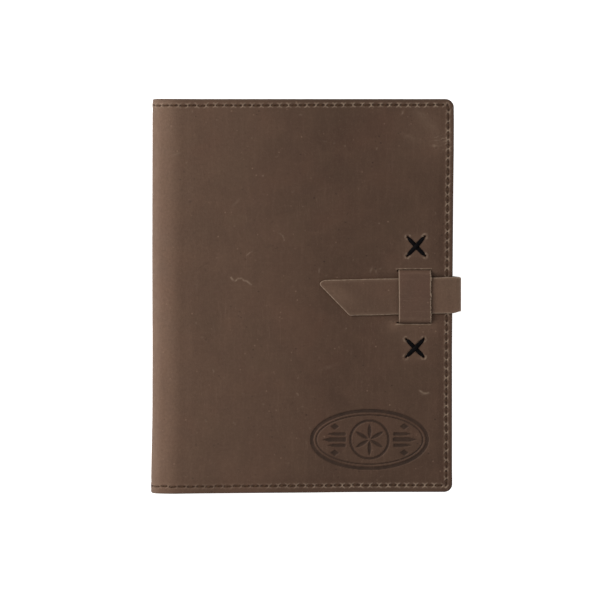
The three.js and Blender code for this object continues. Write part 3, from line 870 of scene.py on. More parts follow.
def leather(name, mid, deep, light, grain=1.0):
    n = Nodes(name)
    warm = tuple(c * k for c, k in zip(mid, (1.14, 0.99, 1.0)))
    cool = tuple(c * k for c, k in zip(mid, (0.93, 1.03, 0.99)))
    v = n.attr("rest", "Vector")
    pale = n.attr("pale")
    chalk = n.attr("chalk")
    dark = n.attr("dark")
    broad = n.noise(v, 16, 3, 0.55, 0.4)
    cloud = n.noise(v, 70, 4, 0.6, 0.6)
    streak = n.noise(n.scaled(v, (420, 60, 200)), 1.0, 3, 0.6, 0.3)
    streak2 = n.noise(n.scaled(v, (70, 520, 200)), 1.0, 2, 0.6, 0.2)
    fine = n.noise(v, 900, 3, 0.65)
    col = n.mix(n.span(broad, 0.3, 0.72), deep, mid)
    col = n.mix(n.math("MULTIPLY", n.span(cloud, 0.42, 0.80), 0.12), col, light)
    col = n.mix(n.math("MULTIPLY", n.span(cloud, 0.52, 0.20), 0.20), col, deep)
    col = n.mix(n.math("MULTIPLY", n.span(streak, 0.50, 0.85), 0.10), col, light)
    col = n.mix(n.math("MULTIPLY", n.span(streak2, 0.56, 0.85), 0.07), col, light)
    col = n.mix(n.math("MULTIPLY", n.span(fine, 0.50, 0.80), 0.14), col, light)
    col = n.mix(n.math("MULTIPLY", n.span(fine, 0.46, 0.22), 0.22), col, deep)
    # warm and cool clouds
    tint = n.noise(v, 34, 2, 0.5, 0.5)
    col = n.mix(n.math("MULTIPLY", n.span(tint, 0.52, 0.72), 0.30), col, warm)
    col = n.mix(n.math("MULTIPLY", n.span(tint, 0.48, 0.28), 0.30), col, cool)
    # specks
    sp = n.voronoi(n.scaled(v, (1.0, 1.0, 1.0)), 260)
    gate = n.noise(v, 130, 2, 0.5)
    speck = n.math("MULTIPLY", n.span(sp, 0.17, 0.05), n.span(gate, 0.52, 0.63))
    col = n.mix(n.math("MULTIPLY", speck, 0.55, clamp=True), col, light)
    sp2 = n.voronoi(n.scaled(v, (1.0, 1.3, 1.0)), 210)
    gate2 = n.noise(v, 95, 2, 0.5, 0.3)
    speck2 = n.math("MULTIPLY", n.span(sp2, 0.17, 0.05), n.span(gate2, 0.48, 0.37))
    black = tuple(c * 0.35 for c in deep)
    col = n.mix(n.math("MULTIPLY", speck2, 0.65, clamp=True), col, black)
    # hair-line scratches
    scr = n.noise(n.scaled(v, (900, 34, 300)), 1.0, 1, 0.4, 1.2)
    scr_gate = n.noise(v, 28, 2, 0.5)
    line = n.math("MULTIPLY", n.span(n.math("ABSOLUTE", n.math("SUBTRACT", scr, 0.5)), 0.010, 0.0), n.span(scr_gate, 0.50, 0.64))
    col = n.mix(n.math("MULTIPLY", line, 0.30, clamp=True), col, light)
    # paler hide: wear and pull-up, with painted light and painted highlights
    pale_n = n.math("MULTIPLY", pale, n.span(n.noise(v, 620, 3, 0.6), 0.25, 0.75, 0.72, 1.28), clamp=True)
    col = n.mix(pale_n, col, tuple(min(1, c * 1.28) for c in light))
    # chalky pale: rubbed and fibrous hide, with painted highlights and a painted reflection
    chalk_and_sheen_n = n.math("MULTIPLY", chalk, n.span(n.noise(v, 1500, 2, 0.6), 0.25, 0.75, 0.75, 1.25), clamp=True)
    col = n.mix(chalk_and_sheen_n, col, srgb(152, 131, 112))
    # darkening: marks and the ornament, with painted shade and painted shadow
    col = n.mix(n.math("MINIMUM", dark, 1.0), col, black)
    # grain: fine pebbles and pores, and creases
    peb = n.voronoi(n.scaled(v, (1.0, 1.15, 1.0)), 1150, "SMOOTH_F1")
    crease = n.noise(n.scaled(v, (1.0, 0.35, 1.0)), 520, 4, 0.6, 0.8)
    h = n.math("ADD", n.math("MULTIPLY", peb, 0.35), n.math("MULTIPLY", fine, 0.5))
    h = n.math("ADD", h, n.math("MULTIPLY", crease, 0.55))
    h = n.math("ADD", h, n.math("MULTIPLY", cloud, 0.6))
    nor = n.bump(h, 0.46 * grain, 0.00035)
    rough = n.span(cloud, 0.3, 0.75, 0.60, 0.76)
    rough = n.math("ADD", rough, n.math("MULTIPLY", pale_n, 0.10), clamp=True)
    return n.done(col, rough, nor, spec=0.20)


MID = srgb(77, 56, 43)
DEEP = srgb(69, 49, 37)
LIGHT = srgb(122, 97, 80)
M_HIDE = leather("pull_up_hide", MID, DEEP, LIGHT)
M_STRAP = leather("strap_hide", srgb(80, 59, 46), srgb(72, 52, 40), srgb(128, 103, 85), 0.9)
M_KEEP = leather("keeper_hide", srgb(81, 59, 47), srgb(74, 53, 42), srgb(130, 105, 88), 0.9)


def suede(name, base, second):
    n = Nodes(name)
    v = n.attr("rest", "Vector")
    a = n.noise(v, 60, 4, 0.6, 0.4)
    b = n.noise(v, 1400, 3, 0.7)
    c = n.noise(n.scaled(v, (300, 900, 300)), 1.0, 3, 0.6)
    col = n.mix(n.span(a, 0.3, 0.7), base, second)
    col = n.mix(n.math("MULTIPLY", n.span(b, 0.45, 0.8), 0.35), col, tuple(min(1, x * 1.5) for x in second))
    col = n.mix(n.math("MULTIPLY", n.attr("dark"), 0.85, clamp=True), col, tuple(x * 0.3 for x in base))
    h = n.math("ADD", b, n.math("MULTIPLY", c, 0.6))
    return n.done(col, n.span(a, 0.3, 0.7, 0.84, 0.94), n.bump(h, 0.45, 0.0003), spec=0.2, sheen=0.25)


M_LINING = suede("lining_suede", srgb(112, 87, 69), srgb(120, 94, 75))
M_SLEEVE = suede("sleeve_leather", srgb(100, 77, 62), srgb(107, 83, 67))


def thread_material():
    n = Nodes("waxed_thread")
    v = n.attr("rest", "Vector")
    ply = n.new("ShaderNodeTexWave", wave_type="BANDS", bands_direction="DIAGONAL")
    n.put(ply.inputs["Vector"], v)
    ply.inputs["Scale"].default_value = 260
    ply.inputs["Distortion"].default_value = 0.4
    w = ply.outputs["Fac"]
    f = n.noise(v, 1500, 3, 0.6)
    col = n.mix(w, srgb(50, 32, 20), srgb(74, 52, 34))
    col = n.mix(n.math("MULTIPLY", n.span(f, 0.5, 0.8), 0.30), col, srgb(100, 76, 55))
    return n.done(col, n.span(f, 0.2, 0.8, 0.60, 0.78), n.bump(n.math("ADD", w, f), 0.5, 0.00012), spec=0.2)


M_THREAD = thread_material()


def lace_material():
    n = Nodes("black_waxed_lace")
    v = n.attr("rest", "Vector")
    f = n.noise(v, 700, 4, 0.6)
    g = n.noise(n.scaled(v, (200, 1500, 600)), 1.0, 3, 0.5)
    col = n.mix(n.span(f, 0.35, 0.8), srgb(3, 2, 3), srgb(11, 9, 11))
    rough = n.span(g, 0.3, 0.7, 0.62, 0.78)
    return n.done(col, rough, n.bump(n.math("ADD", f, g), 0.30, 0.00012), spec=0.07)


M_LACE = lace_material()


def paper_material():
    n = Nodes("page_paper")
    v = n.attr("rest", "Vector")
    a = n.noise(v, 40, 3, 0.5)
    f = n.noise(v, 2200, 2, 0.6)
    col = n.mix(n.span(a, 0.3, 0.7), srgb(235, 227, 208), srgb(233, 225, 205))
    # painted shade in the gaps between leaves
    col = n.mix(n.attr("dark"), col, srgb(176, 164, 142))
    return n.done(col, 0.93, n.bump(f, 0.2, 0.0001), spec=0.15)


M_PAPER = paper_material()


def cloth_material():
    n = Nodes("case_cloth")
    v = n.attr("rest", "Vector")
    wx = n.new("ShaderNodeTexWave", wave_type="BANDS", bands_direction="X")
    wy = n.new("ShaderNodeTexWave", wave_type="BANDS", bands_direction="Y")
    for w in (wx, wy):
        n.put(w.inputs["Vector"], v)
        w.inputs["Scale"].default_value = 380
        w.inputs["Distortion"].default_value = 0.6
    weave = n.math("ADD", wx.outputs["Fac"], wy.outputs["Fac"])
    f = n.noise(v, 90, 3, 0.5)
    col = n.mix(n.span(weave, 0.2, 1.8), srgb(24, 24, 27), srgb(44, 44, 48))
    col = n.mix(n.math("MULTIPLY", n.span(f, 0.4, 0.8), 0.18), col, srgb(58, 57, 60))
    return n.done(col, 0.86, n.bump(weave, 0.45, 0.00012), spec=0.25)


M_CLOTH = cloth_material()

# ---- the wrap: four pieces of one hide, each bending across one flex line ----
front = hide_piece("front_hide", 0.0, L_A, M_HIDE)
spine_up = hide_piece("spine_hide_top", L_A, L_ALL, M_HIDE)
spine_low = hide_piece("spine_hide_bottom", L_A, L_ALL, M_HIDE, back=True)
back = hide_piece("back_hide", 0.0, L_A, M_HIDE, back=True)



def low(p):
    return (p[0], TOP - p[1])


def bend(ob):
    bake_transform(ob)


for ob, key, nodes in (
    (front, "A", ("front_cover", "spine_hide_upper")),
    (spine_up, "B", ("spine_hide_middle",)),
    (spine_low, "C", ("spine_hide_lower",)),
    (back, "D", ("back_cover",)),
):
    bend(ob)
    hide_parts(*nodes)


# ---- stitches ----
def stitches(name, picks, back=False):
    verts, faces, rest = [], [], []
    ring, steps = 8, 9
    r2 = np.random.default_rng(17 + len(picks))
    for k in picks:
        p, t = ST_P[k], ST_T[k]
        n = np.array([-t[1], t[0]])
        half = 2.0 + r2.normal(0, 0.05)
        tilt = -0.08 + r2.normal(0, 0.035 + 0.05 * (p[0] > L_A - 8))
        base = len(verts)
        for i in range(steps):
            u = -1 + 2 * i / (steps - 1)
            a = u * half
            w = 0.39 * math.sqrt(max(0.0, 1 - abs(u) ** 3.2)) + 0.06
            th = 0.34 * math.sqrt(max(0.0, 1 - abs(u) ** 3.0)) + 0.05
            hc = -0.24 - 0.42 * abs(u) ** 3.5
            for j in range(ring):
                f = 2 * math.pi * j / ring
                across = w * math.cos(f) + a * tilt
                q = p + t * a + n * across
                verts.append((q[0], q[1], hc + th * math.sin(f)))
                rest.append((a + k * 5.15, w * math.cos(f), th * math.sin(f)))
        for i in range(steps - 1):
            for j in range(ring):
                j2 = (j + 1) % ring
                faces.append([base + i * ring + j, base + i * ring + j2, base + (i + 1) * ring + j2, base + (i + 1) * ring + j])
        faces.append([base + j for j in range(ring)][::-1])
        faces.append([base + (steps - 1) * ring + j for j in range(ring)])
    v = np.array(verts)
    pos = on_wrap(v[:, 0], v[:, 1], v[:, 2], back)
    ob = new_object(name, pos, faces, {"rest": np.array(rest) * MM}, 60, M_THREAD)
    fix_normals(ob)
    return ob


far = ST_P[:, 0]
pick_panel = [k for k in range(N_STITCH) if far[k] < L_A - 0.2]
pick_spine = [k for k in range(N_STITCH) if far[k] >= L_A - 0.2]
for name, picks, is_back, key, nodes in (
    ("front_stitches", pick_panel, False, "A", ("front_seam_thread", "spine_head_thread_upper", "spine_tail_thread_upper")),
    ("spine_stitches_top", pick_spine, False, "B", ("spine_head_thread_middle", "spine_tail_thread_middle")),
    ("spine_stitches_bottom", pick_spine, True, "C", ("spine_head_thread_lower", "spine_tail_thread_lower")),
    ("back_stitches", pick_panel, True, "D", ("back_seam_thread",)),
):
    ob = stitches(name, picks, is_back)
    bend(ob)
    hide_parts(*nodes)


# ---- linings, on the same wrap ----
def bump_box(x, y, x0, x1, y0, y1, margin):
    d = np.maximum(np.maximum(x0 - x, x - x1), np.maximum(y0 - y, y - y1))
    return 1 - smooth(d / margin)


LINING = 0.7


def lining_piece(name, s0, s1, back=False):
    if s0 == 0:
        us = np.concatenate([[0.2, 0.5, 1, 2, 3.2, 4.5], np.linspace(6, 40, 18), np.linspace(44, S_FLAT, 40), np.linspace(S_FLAT, s1, 22)[1:]])
    else:
        us = np.linspace(s0, s1, 16)
    inner = np.linspace(-HALF_H + 6, HALF_H - 6, 90)
    vs = np.concatenate([-HALF_H + np.array([0.2, 0.5, 1, 2, 3.2, 4.5]), inner, HALF_H - np.array([4.5, 3.2, 2, 1, 0.5, 0.2])])
    h0 = -HIDE - 0.08

    def place(I, J, side):
        s, y = us[I], vs[J]
        if s0 == 0:
            s, y = corner_warp(s, y, CORNER_R)
        x = FORE_X - s
        if s0 == 0:
            bump = 1.0 * (bump_box(x, y, 56.5, 95, -11.8, 12.4, 3.2) if back else bump_box(x, y, 50, 72, -39, 38, 3.4))
        else:
            bump = 0
        d = edge_distance(s, y)
        h = h0 - bump + 0.06 * fractal(s, y, 12, 90 + back) * smooth((d - 5) / 5)
        h = np.minimum(h, h0) - (0 if side else 1) * LINING
        return on_wrap(s, y, h, back)

    def attrs(I, J):
        s, y = us[I], vs[J]
        d = edge_distance(s, y)
        rest = np.stack([s if not back else 2 * L_ALL - s, y, np.zeros_like(s)], 1) * MM
        return {"rest": rest, "dark": 0.3 * gauss(d - SEAM, 0.5)}

    return grid_slab(name, len(us), len(vs), place, attrs, M_LINING)


for name, s0, s1, is_back, key, nodes in (
    ("front_lining_sheet", 0.0, L_A, False, "A", ("front_lining", "spine_lining_upper")),
    ("spine_lining_top", L_A, L_ALL, False, "B", ("spine_lining_middle",)),
    ("spine_lining_bottom", L_A, L_ALL, True, "C", ("spine_lining_lower",)),
    ("back_lining_sheet", 0.0, L_A, True, "D", ("back_lining",)),
):
    ob = lining_piece(name, s0, s1, is_back)
    bend(ob)
    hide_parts(*nodes)

SLEEVE = 0.9
SLEEVE_X0 = 8.0


# ---- sleeves ----
def sleeve(name, back):
    us = np.concatenate([[0.3, 0.6, 1.1, 2, 3.2, 4.2, 5], np.arange(5.6, 17, 0.6), np.linspace(17.5, 72, 50), [72.8, 73.3, 73.7, 73.95, FORE_X - SLEEVE_X0]])
    edge = np.array([0.3, 0.6, 1.1, 1.7, 2.2, 2.7, 3.2, 3.7, 4.2, 4.8, 5.5])
    vs = np.concatenate([-HALF_H + edge, np.linspace(-HALF_H + 6.5, HALF_H - 6.5, 90), HALF_H - edge[::-1]])
    out = HIDE + 0.1 + LINING + 0.1  # depth of its outer face at the border
    lift = 3.0 - 0.1 + 0.0

    def place(I, J, side):
        s, y = us[I], vs[J]
        s2, y2 = corner_warp(s, y, CORNER_R)
        x = FORE_X - s2
        over = 1 - smooth(np.maximum((x - 68.6) / 6.5, (np.abs(y2) - 105.7) / 2.4))
        bump = 1.0 * (bump_box(x, y2, 56.5, 95, -11.8, 12.4, 3.2) if back else bump_box(x, y2, 50, 72, -39, 38, 3.4))
        depth = (out + bump) * (1 - over) + (out + 1.1 + 1.7 + 0.15) * over
        depth = depth + (0.05 * fractal(s2, y2, 9, 300 + back)) * over
        # a turned edge at the sleeve's mouth
        mouth = gauss(us[I] - (FORE_X - SLEEVE_X0) + 2.0, 1.0)
        depth = depth - 0.12 * mouth * over * (1 if side else -1)
        d = depth + (0 if side else SLEEVE)
        z = TOP - d
        if back:
            z = d
        return skew(np.stack([x, y2, z], 1))

    def attrs(I, J):
        s, y = us[I], vs[J]
        d = edge_distance(s, y)
        rest = np.stack([s, y, np.zeros_like(s)], 1) * MM
        return {"rest": rest, "dark": 0.4 * gauss(d - SEAM, 0.4) + 0.35 * gauss(s - 70.6, 0.35)}

    ob = grid_slab(name, len(us), len(vs), place, attrs, M_SLEEVE)
    return ob


for name, is_back, body, node in (
    ("front_sleeve_leather", False, "front_panel", "front_sleeve"),
    ("back_sleeve_leather", True, "back_panel", "back_sleeve"),
):
    ob = sleeve(name, is_back)
    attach(ob, body)
    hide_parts(node)


# ---- notebook ----
def rounded_axis(lo, hi, n, r=0.5):
    e = np.array([0, 0.08, 0.2, 0.35, 0.5]) / 0.5 * r
    return np.concatenate([lo + e, np.linspace(lo + r, hi - r, n)[1:-1], hi - e[::-1]])


def board(name, node, body, wobble):
    lo, hi = box_mm(node)
    us, vs = rounded_axis(lo[0], hi[0], 40), rounded_axis(lo[1], hi[1], 50)
    r = 0.5

    def place(I, J, side):
        x, y = us[I], vs[J]
        dx = np.minimum(x - lo[0], hi[0] - x)
        dy = np.minimum(y - lo[1], hi[1] - y)
        d = np.minimum(dx, dy)
        drop = r - np.sqrt(np.maximum(r * r - np.maximum(r - d, 0) ** 2, 0))
        z = hi[2] - drop if side else lo[2] + drop
        cr = 2.0  # small corner radius
        cx = np.clip(x, lo[0] + cr, hi[0] - cr)
        cy = np.clip(y, lo[1] + cr, hi[1] - cr)
        ux, uy = x - cx, y - cy
        m = np.maximum(np.abs(ux), np.abs(uy))
        L = np.hypot(ux, uy)
        k = np.where((np.abs(ux) > 1e-9) & (np.abs(uy) > 1e-9), m / np.maximum(L, 1e-9), 1)
        return np.stack([cx + ux * k, cy + uy * k, z], 1)

    def attrs(I, J):
        return {"rest": np.stack([us[I], vs[J], np.full(len(I), wobble)], 1) * MM}

    ob = grid_slab(name, len(us), len(vs), place, attrs, M_CLOTH, 40)
    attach(ob, body)
    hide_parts(node)
    return ob


board("case_front", "notebook_front_board", "front_panel", 0)
board("case_back", "notebook_back_board", "back_panel", 30)

# case spine: a curved strip with rounded edges
lo, hi = box_mm("notebook_case_spine")
zs = rounded_axis(lo[2], hi[2], 14, 0.4)
ys = rounded_axis(lo[1], hi[1], 60, 0.4)


def spine_place(I, J, side):
    z, y = zs[I], ys[J]
    t = (z - (lo[2] + hi[2]) / 2) / ((hi[2] - lo[2]) / 2)
    bow = 0.5 * (1 - t * t)
    d = np.minimum(np.minimum(z - lo[2], hi[2] - z), np.minimum(y - lo[1], hi[1] - y))
    drop = 0.4 - np.sqrt(np.maximum(0.16 - np.maximum(0.4 - d, 0) ** 2, 0))
    x = np.where(side > 0.5, lo[0] + drop, hi[0] - drop) - bow
    return np.stack([x, y, z], 1)


ob = grid_slab("case_spine", len(zs), len(ys), spine_place, lambda I, J: {"rest": np.stack([zs[I] + 40, ys[J], zs[I] * 0], 1) * MM}, M_CLOTH, 40)
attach(ob, "middle_spine")
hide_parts("notebook_case_spine")


# page block: leaves show as fine steps on its three cut edges, with painted shade in the gap between each two leaves,
# and its back is rounded
def page_block():
    lo, hi = BLOCK_LO, BLOCK_HI
    n_leaf = 46
    zs = np.linspace(lo[2], hi[2], 2 * n_leaf + 1)
    r = np.random.default_rng(8)
    leaf = r.normal(0, 0.05, (n_leaf + 1, 3))
    xs_n, ys_n = 24, 40
    t = np.linspace(0, 1, xs_n)
    u = np.linspace(0, 1, ys_n)
    loop = [(a, 0.0, 0) for a in t[:-1]] + [(1.0, b, 1) for b in u[:-1]] + [(a, 1.0, 2) for a in t[:0:-1]] + [(0.0, b, 3) for b in u[:0:-1]]
    loop_xy = np.array([(a, b) for a, b, _ in loop])
    side = np.array([c for _, _, c in loop])
    verts, dark, rest = [], [], []
    for k, z in enumerate(zs):
        w = (z - lo[2]) / (hi[2] - lo[2])
        odd = k % 2
        off = leaf[min(k // 2, n_leaf)]
        x0 = lo[0] + 1.3 * (2 * w - 1) ** 2 * 0.5
        x1 = hi[0] + 0.45 * (2 * w - 1) ** 2 - 0.25 + off[0] - 0.10 * odd
        y0 = lo[1] + 0.1 - off[1] + 0.10 * odd
        y1 = hi[1] - 0.1 + off[2] - 0.10 * odd
        x = x0 + (x1 - x0) * loop_xy[:, 0]
        y = y0 + (y1 - y0) * loop_xy[:, 1]
        verts.append(np.stack([x, y, np.full(len(x), z)], 1))
        rest.append(np.stack([x, y, np.full(len(x), z)], 1))
        # every second ring is the gap between two leaves: painted shade
        dark.append(np.full(len(x), 0.5 * odd))
    m = len(loop)
    faces = []
    for k in range(len(zs) - 1):
        for i in range(m):
            j = (i + 1) % m
            faces.append([k * m + i, k * m + j, (k + 1) * m + j, (k + 1) * m + i])
    faces.append(list(range(m))[::-1])
    faces.append([(len(zs) - 1) * m + i for i in range(m)])
    ob = new_object("pages", np.concatenate(verts), faces, {"rest": np.concatenate(rest) * MM, "dark": np.concatenate(dark)}, 40, M_PAPER)
    fix_normals(ob)
    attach(ob, "back_panel")
    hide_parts("page_block")
    return ob


page_block()

# ---- strap ----
GAP = 0.1
STRAP_W = 20.3
TH = 1.8
Z_OUT = TOP + GAP + TH
R_OUT = 2.9
MIDZ = 13.0


def arc(cx, cz, r, a0, a1, n=14):
    a = np.radians(np.linspace(a0, a1, n + 1))
    return np.stack([cx + r * np.cos(a), cz + r * np.sin(a)], 1)


def to_world(lx, ly, z):
    c, n = math.cos(STRAP_TILT), math.sin(STRAP_TILT)
    return np.stack([STRAP_AT[0] + lx * c - ly * n, STRAP_AT[1] + lx * n + ly * c, z], 1)


VS = np.concatenate([
    -STRAP_W / 2 + np.array([0, 0.06, 0.16, 0.32, 0.55, 0.9, 1.4]),
    np.linspace(-STRAP_W / 2 + 2.0, STRAP_W / 2 - 2.0, 34),
    STRAP_W / 2 - np.array([1.4, 0.9, 0.55, 0.32, 0.16, 0.06, 0]),
])


def tip_x(v):
    """Where the strap ends at each place across it."""
    return np.interp(
        v,
        [-10.15, -9.9, -9.4, -8.6, 6.2, 7.0, 7.6, 8.2, 8.8, 9.4, 9.8, 10.15],
        [-61.2, -61.9, -62.5, -63.3, -77.0, -77.7, -78.05, -78.1, -77.8, -77.1, -76.4, -75.3],
    )


def fold_width(v, along):
    """The strap narrows a little into the fold, more at its lower corner. along is 0 where the top is flat and 1 at mid-fold."""
    k = smooth(np.clip(along, 0, 1))
    return v * (1 - np.where(v < 0, 0.075, 0.04) * k)


def edge_drop(d, r=0.5):
    return r - np.sqrt(np.maximum(r * r - np.maximum(r - d, 0) ** 2, 0))


def strap_tongue():
    path = np.concatenate([
        [[0.9, MIDZ]], [[0.9, (MIDZ + Z_OUT - R_OUT) / 2]],
        arc(0.9 - R_OUT, Z_OUT - R_OUT, R_OUT, 0, 90),
        np.stack([np.linspace(-2.4, -90, 90), np.full(90, Z_OUT)], 1),
    ])
    d = np.linalg.norm(np.diff(path, axis=0), axis=1)
    s = np.concatenate([[0], np.cumsum(d)])
    t = np.gradient(path, s, axis=0)
    t /= np.linalg.norm(t, axis=1)[:, None]
    nrm = np.stack([t[:, 1], -t[:, 0]], 1)  # out of the outer face
    s_bend = s[2 + 14]
    x_bend = path[2 + 14][0]
    us = np.concatenate([np.linspace(0, s_bend, 26), s_bend + np.linspace(0, 40, 66)[1:]])
    n_tip = 64
    g = np.concatenate([np.linspace(0, 0.93, n_tip - 8), 1 - np.array([0.055, 0.04, 0.028, 0.018, 0.011, 0.006, 0.0025, 0])])[1:]
    nu = len(us) + len(g)
    x_split = x_bend - 40

    def lattice(I, J):
        v = VS[J]
        U = np.concatenate([us, np.zeros(len(g))])[I]
        k = np.clip(I - len(us), 0, len(g) - 1)
        xt = tip_x(v)
        x_here = x_split + (xt - x_split) * g[k]
        U = np.where(I < len(us), U, s_bend + (x_bend - x_here))
        slope = np.gradient(tip_x(VS), VS)[J]
        d_tip = np.where(I < len(us), 99, (x_here - xt) / np.sqrt(1 + slope**2))
        return U, v, d_tip

    def place(I, J, side):
        U, v, d_tip = lattice(I, J)
        px, pz = np.interp(U, s, path[:, 0]), np.interp(U, s, path[:, 1])
        nx, nz = np.interp(U, s, nrm[:, 0]), np.interp(U, s, nrm[:, 1])
        d_e = np.minimum(STRAP_W / 2 - np.abs(v), d_tip)
        lx = px
        h = 0.05 * fractal(U, v, 11, 210) + 0.03 * fractal(U, v, 4, 214, 2)
        h += 0.25 * (1 - (v / 10.15) ** 2) * smooth((-lx - 2) / 6) * smooth((lx + 30) / 10)
        lift = 0.55 * smooth((-lx - 52) / 24) ** 2 + 0.12 * gauss(lx + 9, 5)
        drop = edge_drop(d_e, 0.5)
        hh = (h - drop if side else -TH + edge_drop(d_e, 0.3)) + lift
        # a cut edge is never quite straight
        wav = 0.10 * value_noise(U, v * 0, 3.1, 500) * smooth((1.2 - (STRAP_W / 2 - np.abs(v))) / 1.2) * np.sign(v)
        x, z = px + nx * hh, pz + nz * hh
        vv = fold_width(v, (px + 4.0) / 4.9)
        # the top layer lies a little lower than the one it is folded over from
        vv = vv + 0.35 * smooth((s_bend - U) / s_bend)
        return to_world(x + 0.024 * vv * smooth((px + 5) / 5), vv + wav, z)

    def attrs(I, J):
        U, v, d_tip = lattice(I, J)
        d_e = np.minimum(STRAP_W / 2 - np.abs(v), d_tip)
        lx = np.interp(U, s, path[:, 0])
        nz = value_noise(U, v, 1.1, 515)
        # raw cut edges are paler, partly fibres and partly painted highlight; a painted highlight lies on the fold
        chalk = 0.85 * gauss(d_e - 0.12, 0.26) * (0.85 + 0.4 * nz) + 0.08 * gauss(d_e - 0.8, 0.7)
        pale = 0.05 + 0.44 * gauss(U - s_bend * 0.66, 3.8) + 0.13 * gauss(np.maximum(np.abs(lx + 9) - 4, 0), 4.0)
        lean = lx + 66.5 + 0.9 * (v - 2)
        pale += 0.13 * gauss(lean, 5.0) * gauss(v - 2.5, 6.0) + 0.10 * gauss(lean + 3.5, 1.6) * gauss(v - 1.0, 5.0)
        # shaded where it goes under the keeper
        keep = np.minimum(np.abs(lx + (STRAP_AT[0] - 51.2)), np.abs(lx + (STRAP_AT[0] - 70.8)))
        under = (lx > -34.2) & (lx < -15.4)
        dark = 0.12 * gauss(keep, 0.9) + 0.06 * under
        return {"rest": np.stack([U + 300, v, np.zeros_like(U)], 1) * MM, "pale": pale, "chalk": chalk, "dark": np.clip(dark, 0, 1)}

    ob = grid_slab("strap_tongue_leather", nu, len(VS), place, attrs, M_STRAP, 60, wall=((0.3, 0.02), (0.7, 0.02)))
    return ob


tongue = strap_tongue()


def strap_root():
    z0 = 1.5
    path = np.concatenate([
        [[0.9, MIDZ]], [[0.9, (MIDZ + z0 + R_OUT) / 2]],
        arc(0.9 - R_OUT, z0 + R_OUT, R_OUT, 0, -90),
        [[-2.8, 1.55], [-3.6, 1.84], [-4.6, 1.9], [-28, 1.9]],
    ])
    d = np.linalg.norm(np.diff(path, axis=0), axis=1)
    s = np.concatenate([[0], np.cumsum(d)])
    t = np.gradient(path, s, axis=0)
    t /= np.linalg.norm(t, axis=1)[:, None]
    nrm = np.stack([-t[:, 1], t[:, 0]], 1)
    us = np.concatenate([np.linspace(0, s[16], 24), np.linspace(s[16], s[19], 8)[1:], np.linspace(s[19], s[20], 16)[1:]])

    def place(I, J, side):
        U, v = us[I], VS[J]
        px, pz = np.interp(U, s, path[:, 0]), np.interp(U, s, path[:, 1])
        nx, nz = np.interp(U, s, nrm[:, 0]), np.interp(U, s, nrm[:, 1])
        d_e = STRAP_W / 2 - np.abs(v)
        th = TH - (TH - 0.85) * smooth((-px - 2.0) / 2.2)
        k = smooth((-px - 2.0) / 2.2)
        nxx = nx * (1 - k)
        nzz = np.where(k > 0, -1.0 * k + nz * (1 - k), nz)
        drop = edge_drop(d_e, 0.5 * (1 - 0.6 * k))
        hh = np.where(side > 0.5, -drop, -th + edge_drop(d_e, 0.3 * (1 - k)))
        h = 0.05 * fractal(U + 40, v, 11, 220) * (1 - k)
        hh = hh + np.where(side > 0.5, h, 0)
        vv = fold_width(v, (px + 4.0) / 4.9) + 0.35 + 0.30 * smooth(U / 12)
        return to_world(px + nxx * hh + 0.024 * vv * smooth((px + 5) / 5), vv, pz + nzz * hh)

    def attrs(I, J):
        U, v = us[I], VS[J]
        d_e = STRAP_W / 2 - np.abs(v)
        # raw cut edges are paler, partly fibres and partly painted highlight; a painted highlight lies on the fold
        chalk = 0.85 * gauss(d_e - 0.12, 0.26) + 0.08 * gauss(d_e - 0.8, 0.7)
        return {"rest": np.stack([280 - U, v, np.zeros_like(U)], 1) * MM, "pale": 0.05 + 0.15 * gauss(U - 10, 4), "chalk": chalk, "dark": np.zeros_like(U)}

    return grid_slab("strap_root_leather", len(us), len(VS), place, attrs, M_STRAP, 60, wall=((0.3, 0.02), (0.7, 0.02)))


root_piece = strap_root()


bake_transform(tongue)
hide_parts("strap_tongue")
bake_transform(root_piece)
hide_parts("strap_tab", "strap_fold")


# the square of stitches under the back panel that holds the strap
def tab_stitches():
    x0, x1, y = -25.5, -10.5, 7.2
    pts = []
    for a, b in (((x0, -y), (x1, -y)), ((x1, -y), (x1, y)), ((x1, y), (x0, y)), ((x0, y), (x0, -y))):
        a, b = np.array(a), np.array(b)
        n = 4
        for k in range(n):
            pts.append((a + (b - a) * (k + 0.5) / n, (b - a) / np.linalg.norm(b - a), np.linalg.norm(b - a) / n))
    verts, faces, rest = [], [], []
    ring, steps = 8, 9
    for q, (p, t, pitch) in enumerate(pts):
        n = np.array([-t[1], t[0]])
        base = len(verts)
        for i in range(steps):
            u = -1 + 2 * i / (steps - 1)
            a = u * (pitch / 2 - 0.5)
            w = 0.42 * math.sqrt(max(0.0, 1 - abs(u) ** 3.2)) + 0.05
            th = 0.28 * math.sqrt(max(0.0, 1 - abs(u) ** 3.0)) + 0.04
            hc = 0.36 + 0.25 * abs(u) ** 3.5
            for j in range(ring):
                f = 2 * math.pi * j / ring
                r = p + t * a + n * w * math.cos(f)
                verts.append((r[0], r[1], hc - th * math.sin(f)))
                rest.append((a + q * 5, w * math.cos(f), th * math.sin(f)))
        for i in range(steps - 1):
            for j in range(ring):
                j2 = (j + 1) % ring
                faces.append([base + i * ring + j, base + i * ring + j2, base + (i + 1) * ring + j2, base + (i + 1) * ring + j])
        faces.append([base + j for j in range(ring)][::-1])
        faces.append([base + (steps - 1) * ring + j for j in range(ring)])
    v = np.array(verts)
    ob = new_object("strap_anchor_stitches", to_world(v[:, 0], v[:, 1], v[:, 2]), faces, {"rest": np.array(rest) * MM}, 60, M_THREAD)
    fix_normals(ob)
    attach(ob, "back_panel")
    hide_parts("strap_tab_thread")


tab_stitches()


